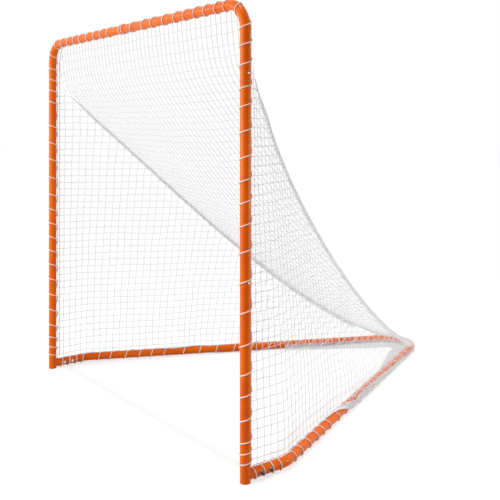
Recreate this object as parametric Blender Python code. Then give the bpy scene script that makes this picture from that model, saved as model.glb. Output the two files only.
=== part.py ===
"""Lacrosse goal: a 6 ft square mouth in orange tube, a V-shaped ground frame and a laced net.

Metres. +X runs to the right across the mouth, +Y back to the apex, +Z up. The origin is on the
ground, midway between the two posts and midway between the front of the lacing and the back of
the net. The construction is drawn with y = 0 at the posts and moved forward at the end.
"""

import math

import bmesh
import bpy
from mathutils import Matrix, Vector

# Tube frame
MOUTH = 1.8288
TUBE_R = 0.021
WALL = 0.0015
FIT_GAP = 0.0003
BORE_R = TUBE_R - WALL
NECK_R = BORE_R - FIT_GAP
NECK_LENGTH = 0.080
NECK_SHOULDER = 0.0015
NECK_LEAD = 0.002
TUBE_SIDES = 16
POST_X = MOUTH / 2 + TUBE_R
BAR_Z = MOUTH + TUBE_R
CORNER_R = 0.105
LOWER_SEAM_Z = 0.7355
UPPER_SEAM_Z = 1.540
BAR_SEAM_X = -0.035
APEX_Y = 1.920
STUB_Y = 0.180
KNEE_R = 0.100
BOW_R = 0.150
BOW_LEG = 0.300
COPE_START = 0.4 * TUBE_R
SPIGOT_END = 0.150

# Net and cord
CORD_R = 0.00225
CORD_SIDES = 5
CORD_FLAT = 0.2 * CORD_R
CORD_REACH = 0.0258
BASE_Z = CORD_REACH + CORD_R - CORD_FLAT
STRAND = 0.006
NET_THICKNESS = 0.004
EDGE_OFFSET = TUBE_R + 0.0045
SEAM_R = 0.007
SEAM_SIDES = 6
SEAM_GAP = 0.0020
NET_FRONT_Y = EDGE_OFFSET - STRAND / 2
NET_HANG_Y = EDGE_OFFSET + STRAND / 2
NET_REAR_Y = 1.728
CELL_START_Y = 0.038
GATHER_CLEARANCE = 0.007
SIDE_CELLS_DEEP = 10
SIDE_CELLS_HIGH = 8
BAR_CELLS = 8

# Catches and bolts
BUTTON_R = 0.0045
BUTTON_PROUD = 0.0055
BUTTON_FLANGE_R = 0.0065
BUTTON_FLANGE_TOP = 0.0158
BUTTON_FLANGE_THICKNESS = 0.0012
BUTTON_FROM_SEAM = 0.035
LEAF_THICKNESS = 0.0006
LEAF_WIDTH = 0.010
BOLT_R = 0.004
BOLT_HOLE_R = 0.0043
BOLT_HEAD_R = 0.0075
BOLT_HEAD_HEIGHT = 0.0053
WASHER_R = 0.008
WASHER_THICKNESS = 0.0016
BOLT_YS = (0.062, 0.108)

POWDER_COAT = ("orange_powder_coat", (0.86, 0.13, 0.005), 0.28, 0.0)
BARE_TUBE = ("zinc_plated_tube", (0.55, 0.55, 0.56), 0.38, 1.0)
ZINC = ("zinc_plate", (0.62, 0.62, 0.64), 0.30, 1.0)
SPRING_STEEL = ("spring_steel", (0.30, 0.31, 0.34), 0.35, 1.0)
BLACK_PLASTIC = ("black_plastic", (0.015, 0.015, 0.02), 0.40, 0.0)
NET_TWINE = ("white_net_twine", (0.82, 0.82, 0.82), 0.80, 0.0)
LACING_CORD = ("cream_lacing_cord", (0.84, 0.80, 0.72), 0.75, 0.0)
SEAM_CORD = ("grey_seam_cord", (0.70, 0.71, 0.72), 0.80, 0.0)


def material(spec):
    name, color, roughness, metallic = spec
    found = bpy.data.materials.get(name)
    if found:
        return found
    made = bpy.data.materials.new(name)
    made.use_nodes = True
    shader = made.node_tree.nodes["Principled BSDF"]
    shader.inputs["Base Color"].default_value = (*color, 1.0)
    shader.inputs["Roughness"].default_value = roughness
    shader.inputs["Metallic"].default_value = metallic
    return made


def add_object(name, bm, spec, smooth=True):
    """Close the bmesh into a named object with its own material."""
    bmesh.ops.recalc_face_normals(bm, faces=bm.faces)
    mesh = bpy.data.meshes.new(name)
    bm.to_mesh(mesh)
    bm.free()
    mesh.materials.append(material(spec))
    if smooth:
        mesh.shade_smooth()
        mesh.set_sharp_from_angle(angle=math.radians(35))
    made = bpy.data.objects.new(name, mesh)
    bpy.context.scene.collection.objects.link(made)
    return made


def cut(target, cutter):
    """Subtract a guide solid from a piece; the guide stays hidden."""
    cutter.hide_render = True
    cutter.display_type = "WIRE"
    boolean = target.modifiers.new("cut_" + cutter.name, "BOOLEAN")
    boolean.operation = "DIFFERENCE"
    boolean.object = cutter


def drill(name, centre, direction, radius, length, sides=12):
    """A rod-shaped guide for a hole."""
    bm = bmesh.new()
    bmesh.ops.create_cone(bm, cap_ends=True, segments=sides, radius1=radius, radius2=radius, depth=length)
    made = add_object(name, bm, ZINC)
    turn = Vector((0, 0, 1)).rotation_difference(Vector(direction).normalized())
    made.matrix_world = Matrix.Translation(centre) @ turn.to_matrix().to_4x4()
    return made


def path_tangents(points):
    tangents = []
    for index in range(len(points)):
        before = points[max(index - 1, 0)]
        after = points[min(index + 1, len(points) - 1)]
        tangents.append((after - before).normalized())
    return tangents


def tube(name, points, radii, bores, plane_normal, spec):
    """An open-ended round tube along a flat path, with an outer and a bore radius at every point."""
    bm = bmesh.new()
    tangents = path_tangents(points)
    rings = []
    for order, radius_list in ((1, radii), (-1, bores)):
        for point, tangent, radius in list(zip(points, tangents, radius_list))[::order]:
            across = tangent.cross(plane_normal).normalized()
            ring = []
            for side in range(TUBE_SIDES):
                angle = 2 * math.pi * side / TUBE_SIDES
                offset = plane_normal * math.cos(angle) + across * math.sin(angle)
                ring.append(bm.verts.new(point + offset * radius))
            rings.append(ring)
    for ring, following in zip(rings, rings[1:] + rings[:1]):
        for side in range(TUBE_SIDES):
            after = (side + 1) % TUBE_SIDES
            bm.faces.new((ring[side], ring[after], following[after], following[side]))
    return add_object(name, bm, spec)


def turned(name, profile, sides, spec):
    """A solid of revolution about local Z; the profile's first and last points lie on the axis."""
    bm = bmesh.new()
    verts = [bm.verts.new((radius, 0, height)) for radius, height in profile]
    edges = [bm.edges.new(pair) for pair in zip(verts, verts[1:])]
    bmesh.ops.spin(bm, geom=verts + edges, cent=(0, 0, 0), axis=(0, 0, 1), angle=2 * math.pi,
                   steps=sides, use_merge=True, use_duplicate=False)
    bmesh.ops.remove_doubles(bm, verts=bm.verts, dist=0.00001)
    return add_object(name, bm, spec)


def mirrored(points, sign):
    return [Vector((sign * point.x, point.y, point.z)) for point in points]


# ---- Lines that the frame and the net follow ----

def arc(centre, radius, start, end, steps, axis_a, axis_b):
    """Points on an arc in the plane of two unit axes, angles in radians."""
    points = []
    for step in range(steps + 1):
        angle = start + (end - start) * step / steps
        points.append(centre + axis_a * (radius * math.cos(angle)) + axis_b * (radius * math.sin(angle)))
    return points


def side_angle():
    """How far each base side turns inward, from the common tangent of its knee and the rear bow."""
    reach = Vector((-(POST_X - KNEE_R), APEX_Y - BOW_R - STUB_Y))
    lean = math.atan2(-reach.x, reach.y)
    return lean - math.asin((BOW_R - KNEE_R) / reach.length)


SIDE_ANGLE = side_angle()
OUTWARD = Vector((math.cos(SIDE_ANGLE), math.sin(SIDE_ANGLE), 0))
BACKWARD = Vector((-math.sin(SIDE_ANGLE), math.cos(SIDE_ANGLE), 0))
KNEE_CENTRE = Vector((POST_X - KNEE_R, STUB_Y, BASE_Z))
BOW_CENTRE = Vector((0, APEX_Y - BOW_R, BASE_Z))
KNEE_END = KNEE_CENTRE + OUTWARD * KNEE_R
BOW_START = BOW_CENTRE + OUTWARD * BOW_R


def base_x(y):
    """The right base tube's centreline."""
    if y <= STUB_Y:
        return POST_X
    if y <= KNEE_END.y:
        return KNEE_CENTRE.x + math.sqrt(KNEE_R ** 2 - (y - STUB_Y) ** 2)
    if y <= BOW_START.y:
        return KNEE_END.x - (y - KNEE_END.y) * math.tan(SIDE_ANGLE)
    return math.sqrt(max(BOW_R ** 2 - (y - BOW_CENTRE.y) ** 2, 0))


def front_x(z):
    """The right half of the mouth's outline: the post, then the first part of the corner."""
    rise = max(z - (BAR_Z - CORNER_R), 0)
    return POST_X - CORNER_R + math.sqrt(max(CORNER_R ** 2 - rise ** 2, 0))


def front_z(x):
    """The crossbar's centreline, then the corner's fall."""
    run = max(abs(x) - (POST_X - CORNER_R), 0)
    return BAR_Z - CORNER_R + math.sqrt(max(CORNER_R ** 2 - run ** 2, 0))


RIDGE_TOP_Z = front_z(POST_X - CORNER_R * (1 - math.cos(math.pi / 4)))
RIDGE_STEEP = 0.19
RIDGE_STEEP_POWER = 70
RIDGE_HANG_POWER = 1.40
RIDGE_FOOT_Z = 0.050
PULL_IN = 0.235


def depth_share(y):
    return min(max((y - NET_HANG_Y) / (APEX_Y - NET_HANG_Y), 0), 1)


def ridge_z(y):
    """The seam between side and back: a steep drop from the corner, then a long hanging curve."""
    left = 1 - depth_share(y)
    hanging = (RIDGE_TOP_Z - RIDGE_FOOT_Z - RIDGE_STEEP) * left ** RIDGE_HANG_POWER
    return RIDGE_FOOT_Z + hanging + RIDGE_STEEP * left ** RIDGE_STEEP_POWER


def front_hold(y):
    """How much of the frame's own outline the net still follows at this depth."""
    return math.exp(-max(y - NET_HANG_Y, 0) / 0.08)


def pulled_in_x(y):
    """The net's own tension draws the ridge in from straight above the base."""
    return base_x(y) * (1 - PULL_IN * math.sin(math.pi * min(y, 1.70) / 1.75) ** 0.4)


def ridge_x(y):
    hold = front_hold(y)
    return hold * front_x(ridge_z(y)) + (1 - hold) * pulled_in_x(y)


def edge_turn(y):
    """Where the net's edge lies round the base tube: inside the top in front, outside at the back."""
    share = min(max((y - 0.55) / 0.90, 0), 1)
    return math.radians(105 - 110 * share * share * (3 - 2 * share))


def edge_z(y):
    return BASE_Z + EDGE_OFFSET * math.sin(edge_turn(y))


def side_x(y, z):
    """The side net's surface, between the base tube's edge strand and the ridge."""
    low = max(edge_z(y), BASE_Z + TUBE_R)
    share = min(max((z - low) / (ridge_z(y) - low), 0), 1)
    foot = base_x(y) + EDGE_OFFSET * math.cos(edge_turn(y)) / math.cos(SIDE_ANGLE)
    leaning = foot + (pulled_in_x(y) - foot) * share ** 1.5
    hold = front_hold(y)
    return hold * (front_x(z) * share + foot * (1 - share)) + (1 - hold) * leaning


def back_z(x, y):
    """The back net's surface: straight across between the ridges, with a hanging middle."""
    across = min(abs(x) / ridge_x(y), 1)
    lift = (front_z(x) - RIDGE_TOP_Z) * math.exp(-max(y - NET_HANG_Y, 0) / 0.05)
    sag = 0.060 * math.sin(math.pi * depth_share(y)) * (1 - across ** 2)
    return ridge_z(y) + lift - sag


def slope(function, y):
    step = 0.002
    return (function(y + step) - function(y - step)) / (2 * step)


# ---- Front frame ----

def with_neck(points, end_direction):
    """End a path at a seam with a neck that slides into the next tube; returns path, radii, bores."""
    seam = points[-1]
    full = len(points)
    ends = [-FIT_GAP - NECK_SHOULDER, -FIT_GAP, NECK_LENGTH - NECK_LEAD, NECK_LENGTH]
    path = points[:-1] + [seam + end_direction * end for end in ends]
    radii = [TUBE_R] * full + [NECK_R, NECK_R, NECK_R - WALL / 2]
    bores = [BORE_R] * full + [NECK_R - WALL] * 3
    return path, radii, bores


def corner_path(sign, bar_end_x):
    up = Vector((0, 0, 1))
    across = Vector((sign, 0, 0))
    centre = Vector((sign * (POST_X - CORNER_R), 0, BAR_Z - CORNER_R))
    points = [Vector((sign * POST_X, 0, UPPER_SEAM_Z))]
    points += arc(centre, CORNER_R, 0, math.pi / 2, 8, across, up)
    points.append(Vector((bar_end_x, 0, BAR_Z)))
    return points


def make_front_frame():
    y_axis = Vector((0, 1, 0))
    points = corner_path(-1, BAR_SEAM_X)
    left = tube("corner_tube_left", points, [TUBE_R] * len(points), [BORE_R] * len(points),
                y_axis, POWDER_COAT)
    points, radii, bores = with_neck(corner_path(1, BAR_SEAM_X), Vector((-1, 0, 0)))
    right = tube("corner_tube_right", points, radii, bores, y_axis, POWDER_COAT)
    for side, sign in (("left", -1), ("right", 1)):
        up = Vector((0, 0, 1))
        outward = Vector((sign, 0, 0))
        foot, lower_seam, upper_seam = [Vector((sign * POST_X, 0, z)) for z in (0, LOWER_SEAM_Z, UPPER_SEAM_Z)]
        points, radii, bores = with_neck([foot, lower_seam], up)
        lower = tube("lower_post_" + side, points, radii, bores, y_axis, POWDER_COAT)
        points, radii, bores = with_neck([lower_seam, upper_seam], up)
        middle = tube("middle_post_" + side, points, radii, bores, y_axis, POWDER_COAT)
        corner = left if sign < 0 else right
        add_catch("lower_post_" + side, lower_seam + up * BUTTON_FROM_SEAM, outward, up, (lower, middle))
        add_catch("post_" + side, upper_seam + up * BUTTON_FROM_SEAM, outward, up, (middle, corner))
    place = Vector((BAR_SEAM_X - BUTTON_FROM_SEAM, 0, BAR_Z))
    add_catch("crossbar", place, Vector((0, 0, 1)), Vector((1, 0, 0)), (left, right))


# ---- Snap buttons ----

def catch_matrix(place, outward, along):
    """Local +Z points out through the button hole, local +X along the tube."""
    side = outward.cross(along)
    turn = Matrix((along, side, outward)).transposed().to_4x4()
    return Matrix.Translation(place) @ turn


def add_catch(name, place, outward, along, tubes):
    matrix = catch_matrix(place, outward, along)
    hole = drill("hole_" + name, place + outward * TUBE_R, outward, BUTTON_R + FIT_GAP, 0.012)
    for piece in tubes:
        cut(piece, hole)
    top = TUBE_R + BUTTON_PROUD
    flange_low = BUTTON_FLANGE_TOP - BUTTON_FLANGE_THICKNESS
    profile = [(0, flange_low), (BUTTON_FLANGE_R, flange_low), (BUTTON_FLANGE_R, BUTTON_FLANGE_TOP),
               (BUTTON_R, BUTTON_FLANGE_TOP), (BUTTON_R, top - 0.0030), (BUTTON_R * 0.82, top - 0.0012),
               (BUTTON_R * 0.45, top - 0.0002), (0, top)]
    button = turned(name + "_button", profile, 12, ZINC)
    button.matrix_world = matrix
    leaf = leaf_spring(name + "_leaf_spring", flange_low - FIT_GAP)
    leaf.matrix_world = matrix


def leaf_spring(name, seat):
    """A V-shaped strip: one leg under the button, a round fold, the other leg on the far wall."""
    middle = seat - LEAF_THICKNESS / 2
    fold = Vector((0.046, 0, 0))
    far_wall = -(BORE_R - 0.0036)
    spine = [Vector((-0.009, 0, middle)), Vector((0.007, 0, middle))]
    spine += arc(fold, 0.004, math.pi / 2, -math.pi / 2, 5, Vector((1, 0, 0)), Vector((0, 0, 1)))
    spine += [Vector((0.004, 0, far_wall)), Vector((-0.009, 0, far_wall + 0.0015))]
    bm = bmesh.new()
    rings = []
    for point, tangent in zip(spine, path_tangents(spine)):
        normal = Vector((-tangent.z, 0, tangent.x)) * LEAF_THICKNESS / 2
        half = Vector((0, LEAF_WIDTH / 2, 0))
        corners = (point + normal + half, point + normal - half, point - normal - half, point - normal + half)
        rings.append([bm.verts.new(corner) for corner in corners])
    for ring, following in zip(rings, rings[1:]):
        for side in range(4):
            after = (side + 1) % 4
            bm.faces.new((ring[side], ring[after], following[after], following[side]))
    bm.faces.new(rings[0])
    bm.faces.new(rings[-1])
    return add_object(name, bm, SPRING_STEEL, smooth=False)


# ---- Ground frame ----

def make_ground_frame():
    z_axis = Vector((0, 0, 1))
    bow_arc = arc(BOW_CENTRE, BOW_R, SIDE_ANGLE, math.pi - SIDE_ANGLE, 10,
                  Vector((1, 0, 0)), Vector((0, 1, 0)))
    joint = BOW_START - BACKWARD * BOW_LEG
    right_leg, radii, bores = with_neck([BOW_START, joint], -BACKWARD)
    leg_radii = radii[1:]
    leg_bores = bores[1:]
    path = right_leg[:0:-1] + bow_arc + mirrored(right_leg[1:], -1)
    arc_count = len(bow_arc)
    bow = tube("rear_bow", path, leg_radii[::-1] + [TUBE_R] * arc_count + leg_radii,
               leg_bores[::-1] + [BORE_R] * arc_count + leg_bores, z_axis, POWDER_COAT)
    for side, sign in (("left", -1), ("right", 1)):
        knee = arc(KNEE_CENTRE, KNEE_R, 0, SIDE_ANGLE, 4, Vector((1, 0, 0)), Vector((0, 1, 0)))
        points = [Vector((POST_X, COPE_START, BASE_Z))] + knee + [joint]
        count = len(points)
        side_tube = tube("base_side_tube_" + side, mirrored(points, sign), [TUBE_R] * count,
                         [BORE_R] * count, z_axis, POWDER_COAT)
        spigot = make_spigot(side, sign)
        post_guide = drill("cope_" + side, Vector((sign * POST_X, 0, BASE_Z)), (0, 0, 1),
                           TUBE_R + FIT_GAP, 0.1, 40)
        cut(side_tube, post_guide)
        cut(spigot, post_guide)
        inward, forward, place = mirrored([-OUTWARD, -BACKWARD, joint - BACKWARD * BUTTON_FROM_SEAM], sign)
        add_catch("bow_" + side, place, inward, forward, (side_tube, bow))
        for position, bolt_y in zip(("front", "rear"), BOLT_YS):
            add_bolt(side + "_" + position, sign, bolt_y, (side_tube, spigot))


def make_spigot(side, sign):
    """A short inner tube, coped to the round post that it is welded to."""
    stations = [(COPE_START, NECK_R), (SPIGOT_END - 0.003, NECK_R), (SPIGOT_END, NECK_R - 0.0008)]
    points = [Vector((sign * POST_X, y, BASE_Z)) for y, radius in stations]
    return tube("base_spigot_" + side, points, [radius for y, radius in stations],
                [NECK_R - WALL] * len(stations), Vector((0, 0, 1)), BARE_TUBE)


def add_bolt(name, sign, bolt_y, tubes):
    """A through bolt: hex head on the inner side, cap nut on the outer side, a washer under each."""
    centre = Vector((sign * POST_X, bolt_y, BASE_Z))
    outward = Vector((sign, 0, 0))
    hole = drill("bolt_hole_" + name, centre, outward, BOLT_HOLE_R, 0.06)
    for piece in tubes:
        cut(piece, hole)
    matrix = catch_matrix(centre, outward, Vector((0, 1, 0)))
    washer_low = TUBE_R + FIT_GAP
    seat = washer_low + WASHER_THICKNESS + FIT_GAP
    thread_end = seat + 0.0095
    bolt = hex_bolt("base_bolt_" + name, seat, thread_end)
    bolt.matrix_world = matrix
    nut = cap_nut("base_cap_nut_" + name, seat, thread_end)
    nut.matrix_world = matrix
    for face, flip in (("outer", 1), ("inner", -1)):
        washer = washer_ring("base_washer_" + name + "_" + face, flip * (washer_low + WASHER_THICKNESS / 2))
        washer.matrix_world = matrix


def ring_stack(bm, rings):
    for ring, following in zip(rings, rings[1:]):
        for side in range(len(ring)):
            after = (side + 1) % len(ring)
            bm.faces.new((ring[side], ring[after], following[after], following[side]))


def circle(bm, radius, height, sides, wobble=0.0):
    """A ring of points; wobble pulls every other point in, which turns twelve points into a hexagon."""
    ring = []
    for side in range(sides):
        angle = 2 * math.pi * side / sides
        reach = radius * (1 - wobble) if side % 2 else radius
        ring.append(bm.verts.new((reach * math.cos(angle), reach * math.sin(angle), height)))
    return ring


HEXAGON = 1 - math.cos(math.pi / 6)


def hex_bolt(name, seat, thread_end):
    bm = bmesh.new()
    rings = [circle(bm, BOLT_HEAD_R * 0.90, -seat - BOLT_HEAD_HEIGHT, 12),
             circle(bm, BOLT_HEAD_R, -seat - BOLT_HEAD_HEIGHT + 0.0012, 12, HEXAGON),
             circle(bm, BOLT_HEAD_R, -seat, 12, HEXAGON),
             circle(bm, BOLT_R, -seat, 12),
             circle(bm, BOLT_R, thread_end - 0.0008, 12),
             circle(bm, BOLT_R - 0.0008, thread_end, 12)]
    ring_stack(bm, rings)
    bm.faces.new(rings[0])
    bm.faces.new(rings[-1])
    return add_object(name, bm, ZINC)


def cap_nut(name, seat, thread_end):
    """A hexagon with a domed cap over the end of the thread."""
    bm = bmesh.new()
    hex_top = seat + 0.0065
    bore_top = thread_end + 0.0006
    rings = [circle(bm, BOLT_HOLE_R, bore_top, 12),
             circle(bm, BOLT_HOLE_R, seat, 12),
             circle(bm, BOLT_HEAD_R, seat, 12, HEXAGON),
             circle(bm, BOLT_HEAD_R, hex_top - 0.001, 12, HEXAGON),
             circle(bm, BOLT_HEAD_R * 0.86, hex_top, 12),
             circle(bm, BOLT_HEAD_R * 0.76, bore_top - 0.0005, 12),
             circle(bm, BOLT_HEAD_R * 0.45, bore_top + 0.0020, 12)]
    ring_stack(bm, rings)
    bm.faces.new(rings[0])
    bm.faces.new(rings[-1])
    return add_object(name, bm, BLACK_PLASTIC)


def washer_ring(name, middle):
    bm = bmesh.new()
    low = middle - WASHER_THICKNESS / 2
    high = middle + WASHER_THICKNESS / 2
    rings = [circle(bm, BOLT_HOLE_R, low, 12), circle(bm, WASHER_R, low, 12),
             circle(bm, WASHER_R, high, 12), circle(bm, BOLT_HOLE_R, high, 12)]
    ring_stack(bm, rings + rings[:1])
    return add_object(name, bm, ZINC)


# ---- Net panels ----

def perforated(name, outline, holes, place, spec):
    """A flat pattern with holes, filled, given a thickness and laid on a curved surface."""
    bm = bmesh.new()
    for loop in [outline] + holes:
        verts = [bm.verts.new((a, b, 0)) for a, b in loop]
        for first, second in zip(verts, verts[1:] + verts[:1]):
            bm.edges.new((first, second))
    bmesh.ops.triangle_fill(bm, edges=bm.edges, use_beauty=True)
    bm.verts.index_update()
    flat = [(vert.co.x, vert.co.y) for vert in bm.verts]
    faces = [[vert.index for vert in face.verts] for face in bm.faces]
    rims = [[vert.index for vert in edge.verts] for edge in bm.edges if len(edge.link_faces) == 1]
    bm.free()
    bm = bmesh.new()
    front = [bm.verts.new(place(a, b, NET_THICKNESS / 2)) for a, b in flat]
    back = [bm.verts.new(place(a, b, -NET_THICKNESS / 2)) for a, b in flat]
    for face in faces:
        bm.faces.new([front[index] for index in face])
        bm.faces.new([back[index] for index in reversed(face)])
    for first, second in rims:
        bm.faces.new((front[first], front[second], back[second], back[first]))
    return add_object(name, bm, spec, smooth=False)


def longest_step(y):
    """The ridge bends most near the corner and the base at its knee, so points lie closer there."""
    if y < 0.09:
        return 0.009
    if y < 0.12 or STUB_Y - 0.02 < y < KNEE_END.y:
        return 0.022
    return 0.06 if y < 0.3 else 0.2


def cell_depths():
    pitch = (NET_REAR_Y - CELL_START_Y) / SIDE_CELLS_DEEP
    return [CELL_START_Y + pitch * index for index in range(SIDE_CELLS_DEEP + 1)]


def fine_depths(start, end):
    """Depths between two cell edges, closer together near the corner."""
    depths = [start]
    while depths[-1] < end - 1e-6:
        step = longest_step(depths[-1])
        remaining = end - depths[-1]
        depths.append(end if remaining < step * 1.4 else depths[-1] + step)
    return depths


def ridge_steepness(y):
    return math.hypot(1, slope(ridge_z, max(y, NET_HANG_Y + 0.003)))


def side_top(y):
    """The side panel's upper edge, just under the ridge cord."""
    return ridge_z(y) - (SEAM_R + SEAM_GAP) * ridge_steepness(y)


def side_hole_top(y):
    return side_top(y) - STRAND * ridge_steepness(y)


def thin_out(points, tolerance=0.0030):
    """Keep only the points that an outline needs to stay within the tolerance."""
    if len(points) < 3:
        return points
    first = Vector(points[0])
    run = Vector(points[-1]) - first
    away = [abs(run.cross(Vector(point) - first)) / max(run.length, 1e-9) for point in points]
    farthest = max(range(len(points)), key=lambda index: away[index])
    if away[farthest] <= tolerance:
        return [points[0], points[-1]]
    return thin_out(points[:farthest + 1], tolerance)[:-1] + thin_out(points[farthest:], tolerance)


def mesh_hole(start, end, low_side, high_side):
    """One opening between two depths and two side lines, cut off where these meet."""
    samples = 24
    depths = [start + (end - start) * step / samples for step in range(samples + 1)]
    kept = [y for y in depths if high_side(y) - low_side(y) > STRAND / 2]
    if len(kept) < 3:
        return None
    lower = thin_out([(y, low_side(y)) for y in kept])
    upper = thin_out([(y, high_side(y)) for y in kept])
    return lower + upper[::-1]


def side_hole(start, end, low, high):
    """One mesh of the side net, cut off by the bottom edge and by the ridge."""
    def floor(y):
        return max(low, edge_z(y)) + STRAND / 2

    def ceiling(y):
        return min(high - STRAND / 2, side_hole_top(y))

    return mesh_hole(start + STRAND / 2, end - STRAND / 2, floor, ceiling)


def make_side_net(side, sign):
    depths = cell_depths()
    low = edge_z(depths[0])
    high = BAR_Z - CORNER_R
    heights = [low + (high - low) * index / SIDE_CELLS_HIGH for index in range(SIDE_CELLS_HIGH + 1)]
    heights.append(RIDGE_TOP_Z)
    holes = []
    for start, end in zip(depths, depths[1:]):
        first = NET_FRONT_Y + STRAND / 2 if start == depths[0] else start
        for floor, ceiling in zip([0] + heights[1:], heights[1:]):
            hole = side_hole(first, end, floor, ceiling)
            if hole:
                holes.append(hole)
    bottom = [(y, edge_z(y) - STRAND / 2) for y in depths_for_edge(depths)]
    top = [(y, side_top(y)) for y in reversed(edge_depths())]
    front = [(NET_FRONT_Y, z) for z in reversed(heights[1:]) if low < z < side_top(NET_FRONT_Y) - 0.01]
    skew = 1 / math.cos(SIDE_ANGLE)

    def place(y, z, offset):
        return Vector((sign * (side_x(y, z) + offset * skew), y, z))

    rear = [(NET_REAR_Y, BASE_Z + TUBE_R)]
    perforated("net_side_" + side, bottom + rear + top + front, holes, place, NET_TWINE)


def edge_depths():
    """Points along a ridge, shared by the cord and by both panels that it joins."""
    cells = cell_depths()
    depths = [NET_FRONT_Y] + fine_depths(NET_HANG_Y, cells[1])
    for start, end in zip(cells[1:], cells[2:]):
        depths += fine_depths(start, end)[1:]
    return depths


def depths_for_edge(depths):
    """Points along the bottom edge: the cell edges, the middle of each and the knee's own points."""
    knee = [STUB_Y + (KNEE_END.y - STUB_Y) * share for share in (0.0, 0.34, 0.67, 1.0)]
    points = [NET_FRONT_Y, depths[0], (depths[0] + STUB_Y) / 2] + knee
    for start, end in zip(depths[1:], depths[2:]):
        points += [start, (start + end) / 2]
    return points + [depths[-1]]


def back_half_width(y):
    """From the middle to the back panel's side edge, just inside the ridge cord."""
    return ridge_x(y) - (SEAM_R + SEAM_GAP) * math.hypot(1, slope(ridge_x, y))


def back_steepness(y):
    return math.hypot(1, slope(lambda depth: back_z(0, depth), y))


def back_hole(start, end, left, right):
    """One mesh of the back net, cut off by the ridges."""
    def reach(y):
        return back_half_width(y) - STRAND * math.hypot(1, slope(ridge_x, y))

    def west(y):
        return max(left + STRAND / 2, -reach(y))

    def east(y):
        return min(right - STRAND / 2, reach(y))

    first = start + STRAND / 2 / (back_steepness(start) if start > NET_HANG_Y else 1)
    last = end - STRAND / 2 / back_steepness(end)
    hole = mesh_hole(first, last, west, east)
    return [(x, y) for y, x in hole] if hole else None


def back_rows():
    """Rows of the back net, evenly spaced along its slope, so closer together in plan where it is steep."""
    rows = [NET_FRONT_Y + STRAND / 2]
    y = rows[0]
    run = 0.0
    step = 0.002
    pitch = (POST_X - CORNER_R) * 2 / BAR_CELLS
    while y < NET_REAR_Y - 0.02:
        run += step * back_steepness(y + step / 2)
        y += step
        if run >= pitch:
            rows.append(y)
            run = 0.0
    if NET_REAR_Y - rows[-1] < 0.05:
        rows.pop()
    return rows + [NET_REAR_Y]


def make_back_net():
    half = POST_X - CORNER_R
    columns = [-half + 2 * half * index / BAR_CELLS for index in range(BAR_CELLS + 1)]
    columns = [-POST_X] + columns + [POST_X]
    rows = back_rows()
    holes = []
    for start, end in zip(rows, rows[1:]):
        for left, right in zip(columns, columns[1:]):
            hole = back_hole(start, end, left, right)
            if hole:
                holes.append(hole)
    right_side = [(back_half_width(y), y) for y in edge_depths()]
    left_side = [(-x, y) for x, y in reversed(right_side)]
    front = [(x, NET_FRONT_Y) for x in columns[1:-1]]

    def place(x, y, offset):
        steep = math.hypot(1, slope(lambda depth: back_z(x, depth), max(y, NET_FRONT_Y + 0.002)))
        return Vector((x, y, back_z(x, y) + offset * min(steep, 2.5)))

    perforated("net_back", front + right_side + left_side, holes, place, NET_TWINE)


def make_ridge_cords():
    for side, sign in (("left", -1), ("right", 1)):
        points = [Vector((sign * ridge_x(y), y, ridge_z(y))) for y in edge_depths()[1:]]
        add_cord("ridge_cord_" + side, points, SEAM_R, SEAM_SIDES, SEAM_CORD)


def make_apex_gather():
    """The gathered end of the net, drawn over the bow from the last row of meshes."""
    columns = 13
    spread = 1.25
    turns = [math.radians(angle) for angle in (100, 65, 32, 0)]
    half = ridge_x(NET_REAR_Y) - SEAM_R
    inner = []
    outer = []
    for column in range(columns):
        across = 2 * column / (columns - 1) - 1
        radial = Vector((math.sin(across * spread), math.cos(across * spread), 0))
        start = Vector((across * half, NET_REAR_Y + STRAND, back_z(across * half, NET_REAR_Y)))
        up = Vector((0, 0, 1))
        for sheet, thickness in ((inner, 0), (outer, NET_THICKNESS)):
            row = [start + up * thickness]
            for turn in turns:
                reach = TUBE_R + GATHER_CLEARANCE + thickness
                out = radial * (BOW_R + reach * math.cos(turn))
                row.append(BOW_CENTRE + out + up * (reach * math.sin(turn)))
            sheet.append(row)
    bm = bmesh.new()
    inner = [[bm.verts.new(point) for point in row] for row in inner]
    outer = [[bm.verts.new(point) for point in row] for row in outer]
    rims = [row + other[::-1] for row, other in zip(inner, outer)]
    ring_stack(bm, rims)
    bm.faces.new(rims[0])
    bm.faces.new(rims[-1])
    add_object("net_apex_gather", bm, NET_TWINE)


# ---- Lacing ----

def add_cord(name, points, radius, sides, spec):
    """A cord with closed ends swept along a chain of points, turned as little as the path allows."""
    bm = bmesh.new()
    tangents = path_tangents(points)
    normal = tangents[0].orthogonal().normalized()
    rings = []
    for index, (point, tangent) in enumerate(zip(points, tangents)):
        if index:
            normal = tangents[index - 1].rotation_difference(tangent) @ normal
        across = tangent.cross(normal)
        ring = []
        for side in range(sides):
            angle = 2 * math.pi * side / sides
            ring.append(bm.verts.new(point + (normal * math.cos(angle) + across * math.sin(angle)) * radius))
        rings.append(ring)
    ring_stack(bm, rings)
    bm.faces.new(rings[0])
    bm.faces.new(rings[-1])
    return add_object(name, bm, spec)


# One turn round the tube, from where the cord goes through the net: angle in degrees, reach from the axis.
TURN = ((0, 0.0335), (22, 0.0330), (66, CORD_REACH), (110, CORD_REACH), (156, CORD_REACH),
        (204, CORD_REACH), (250, CORD_REACH), (294, CORD_REACH), (338, 0.0330))


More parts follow.
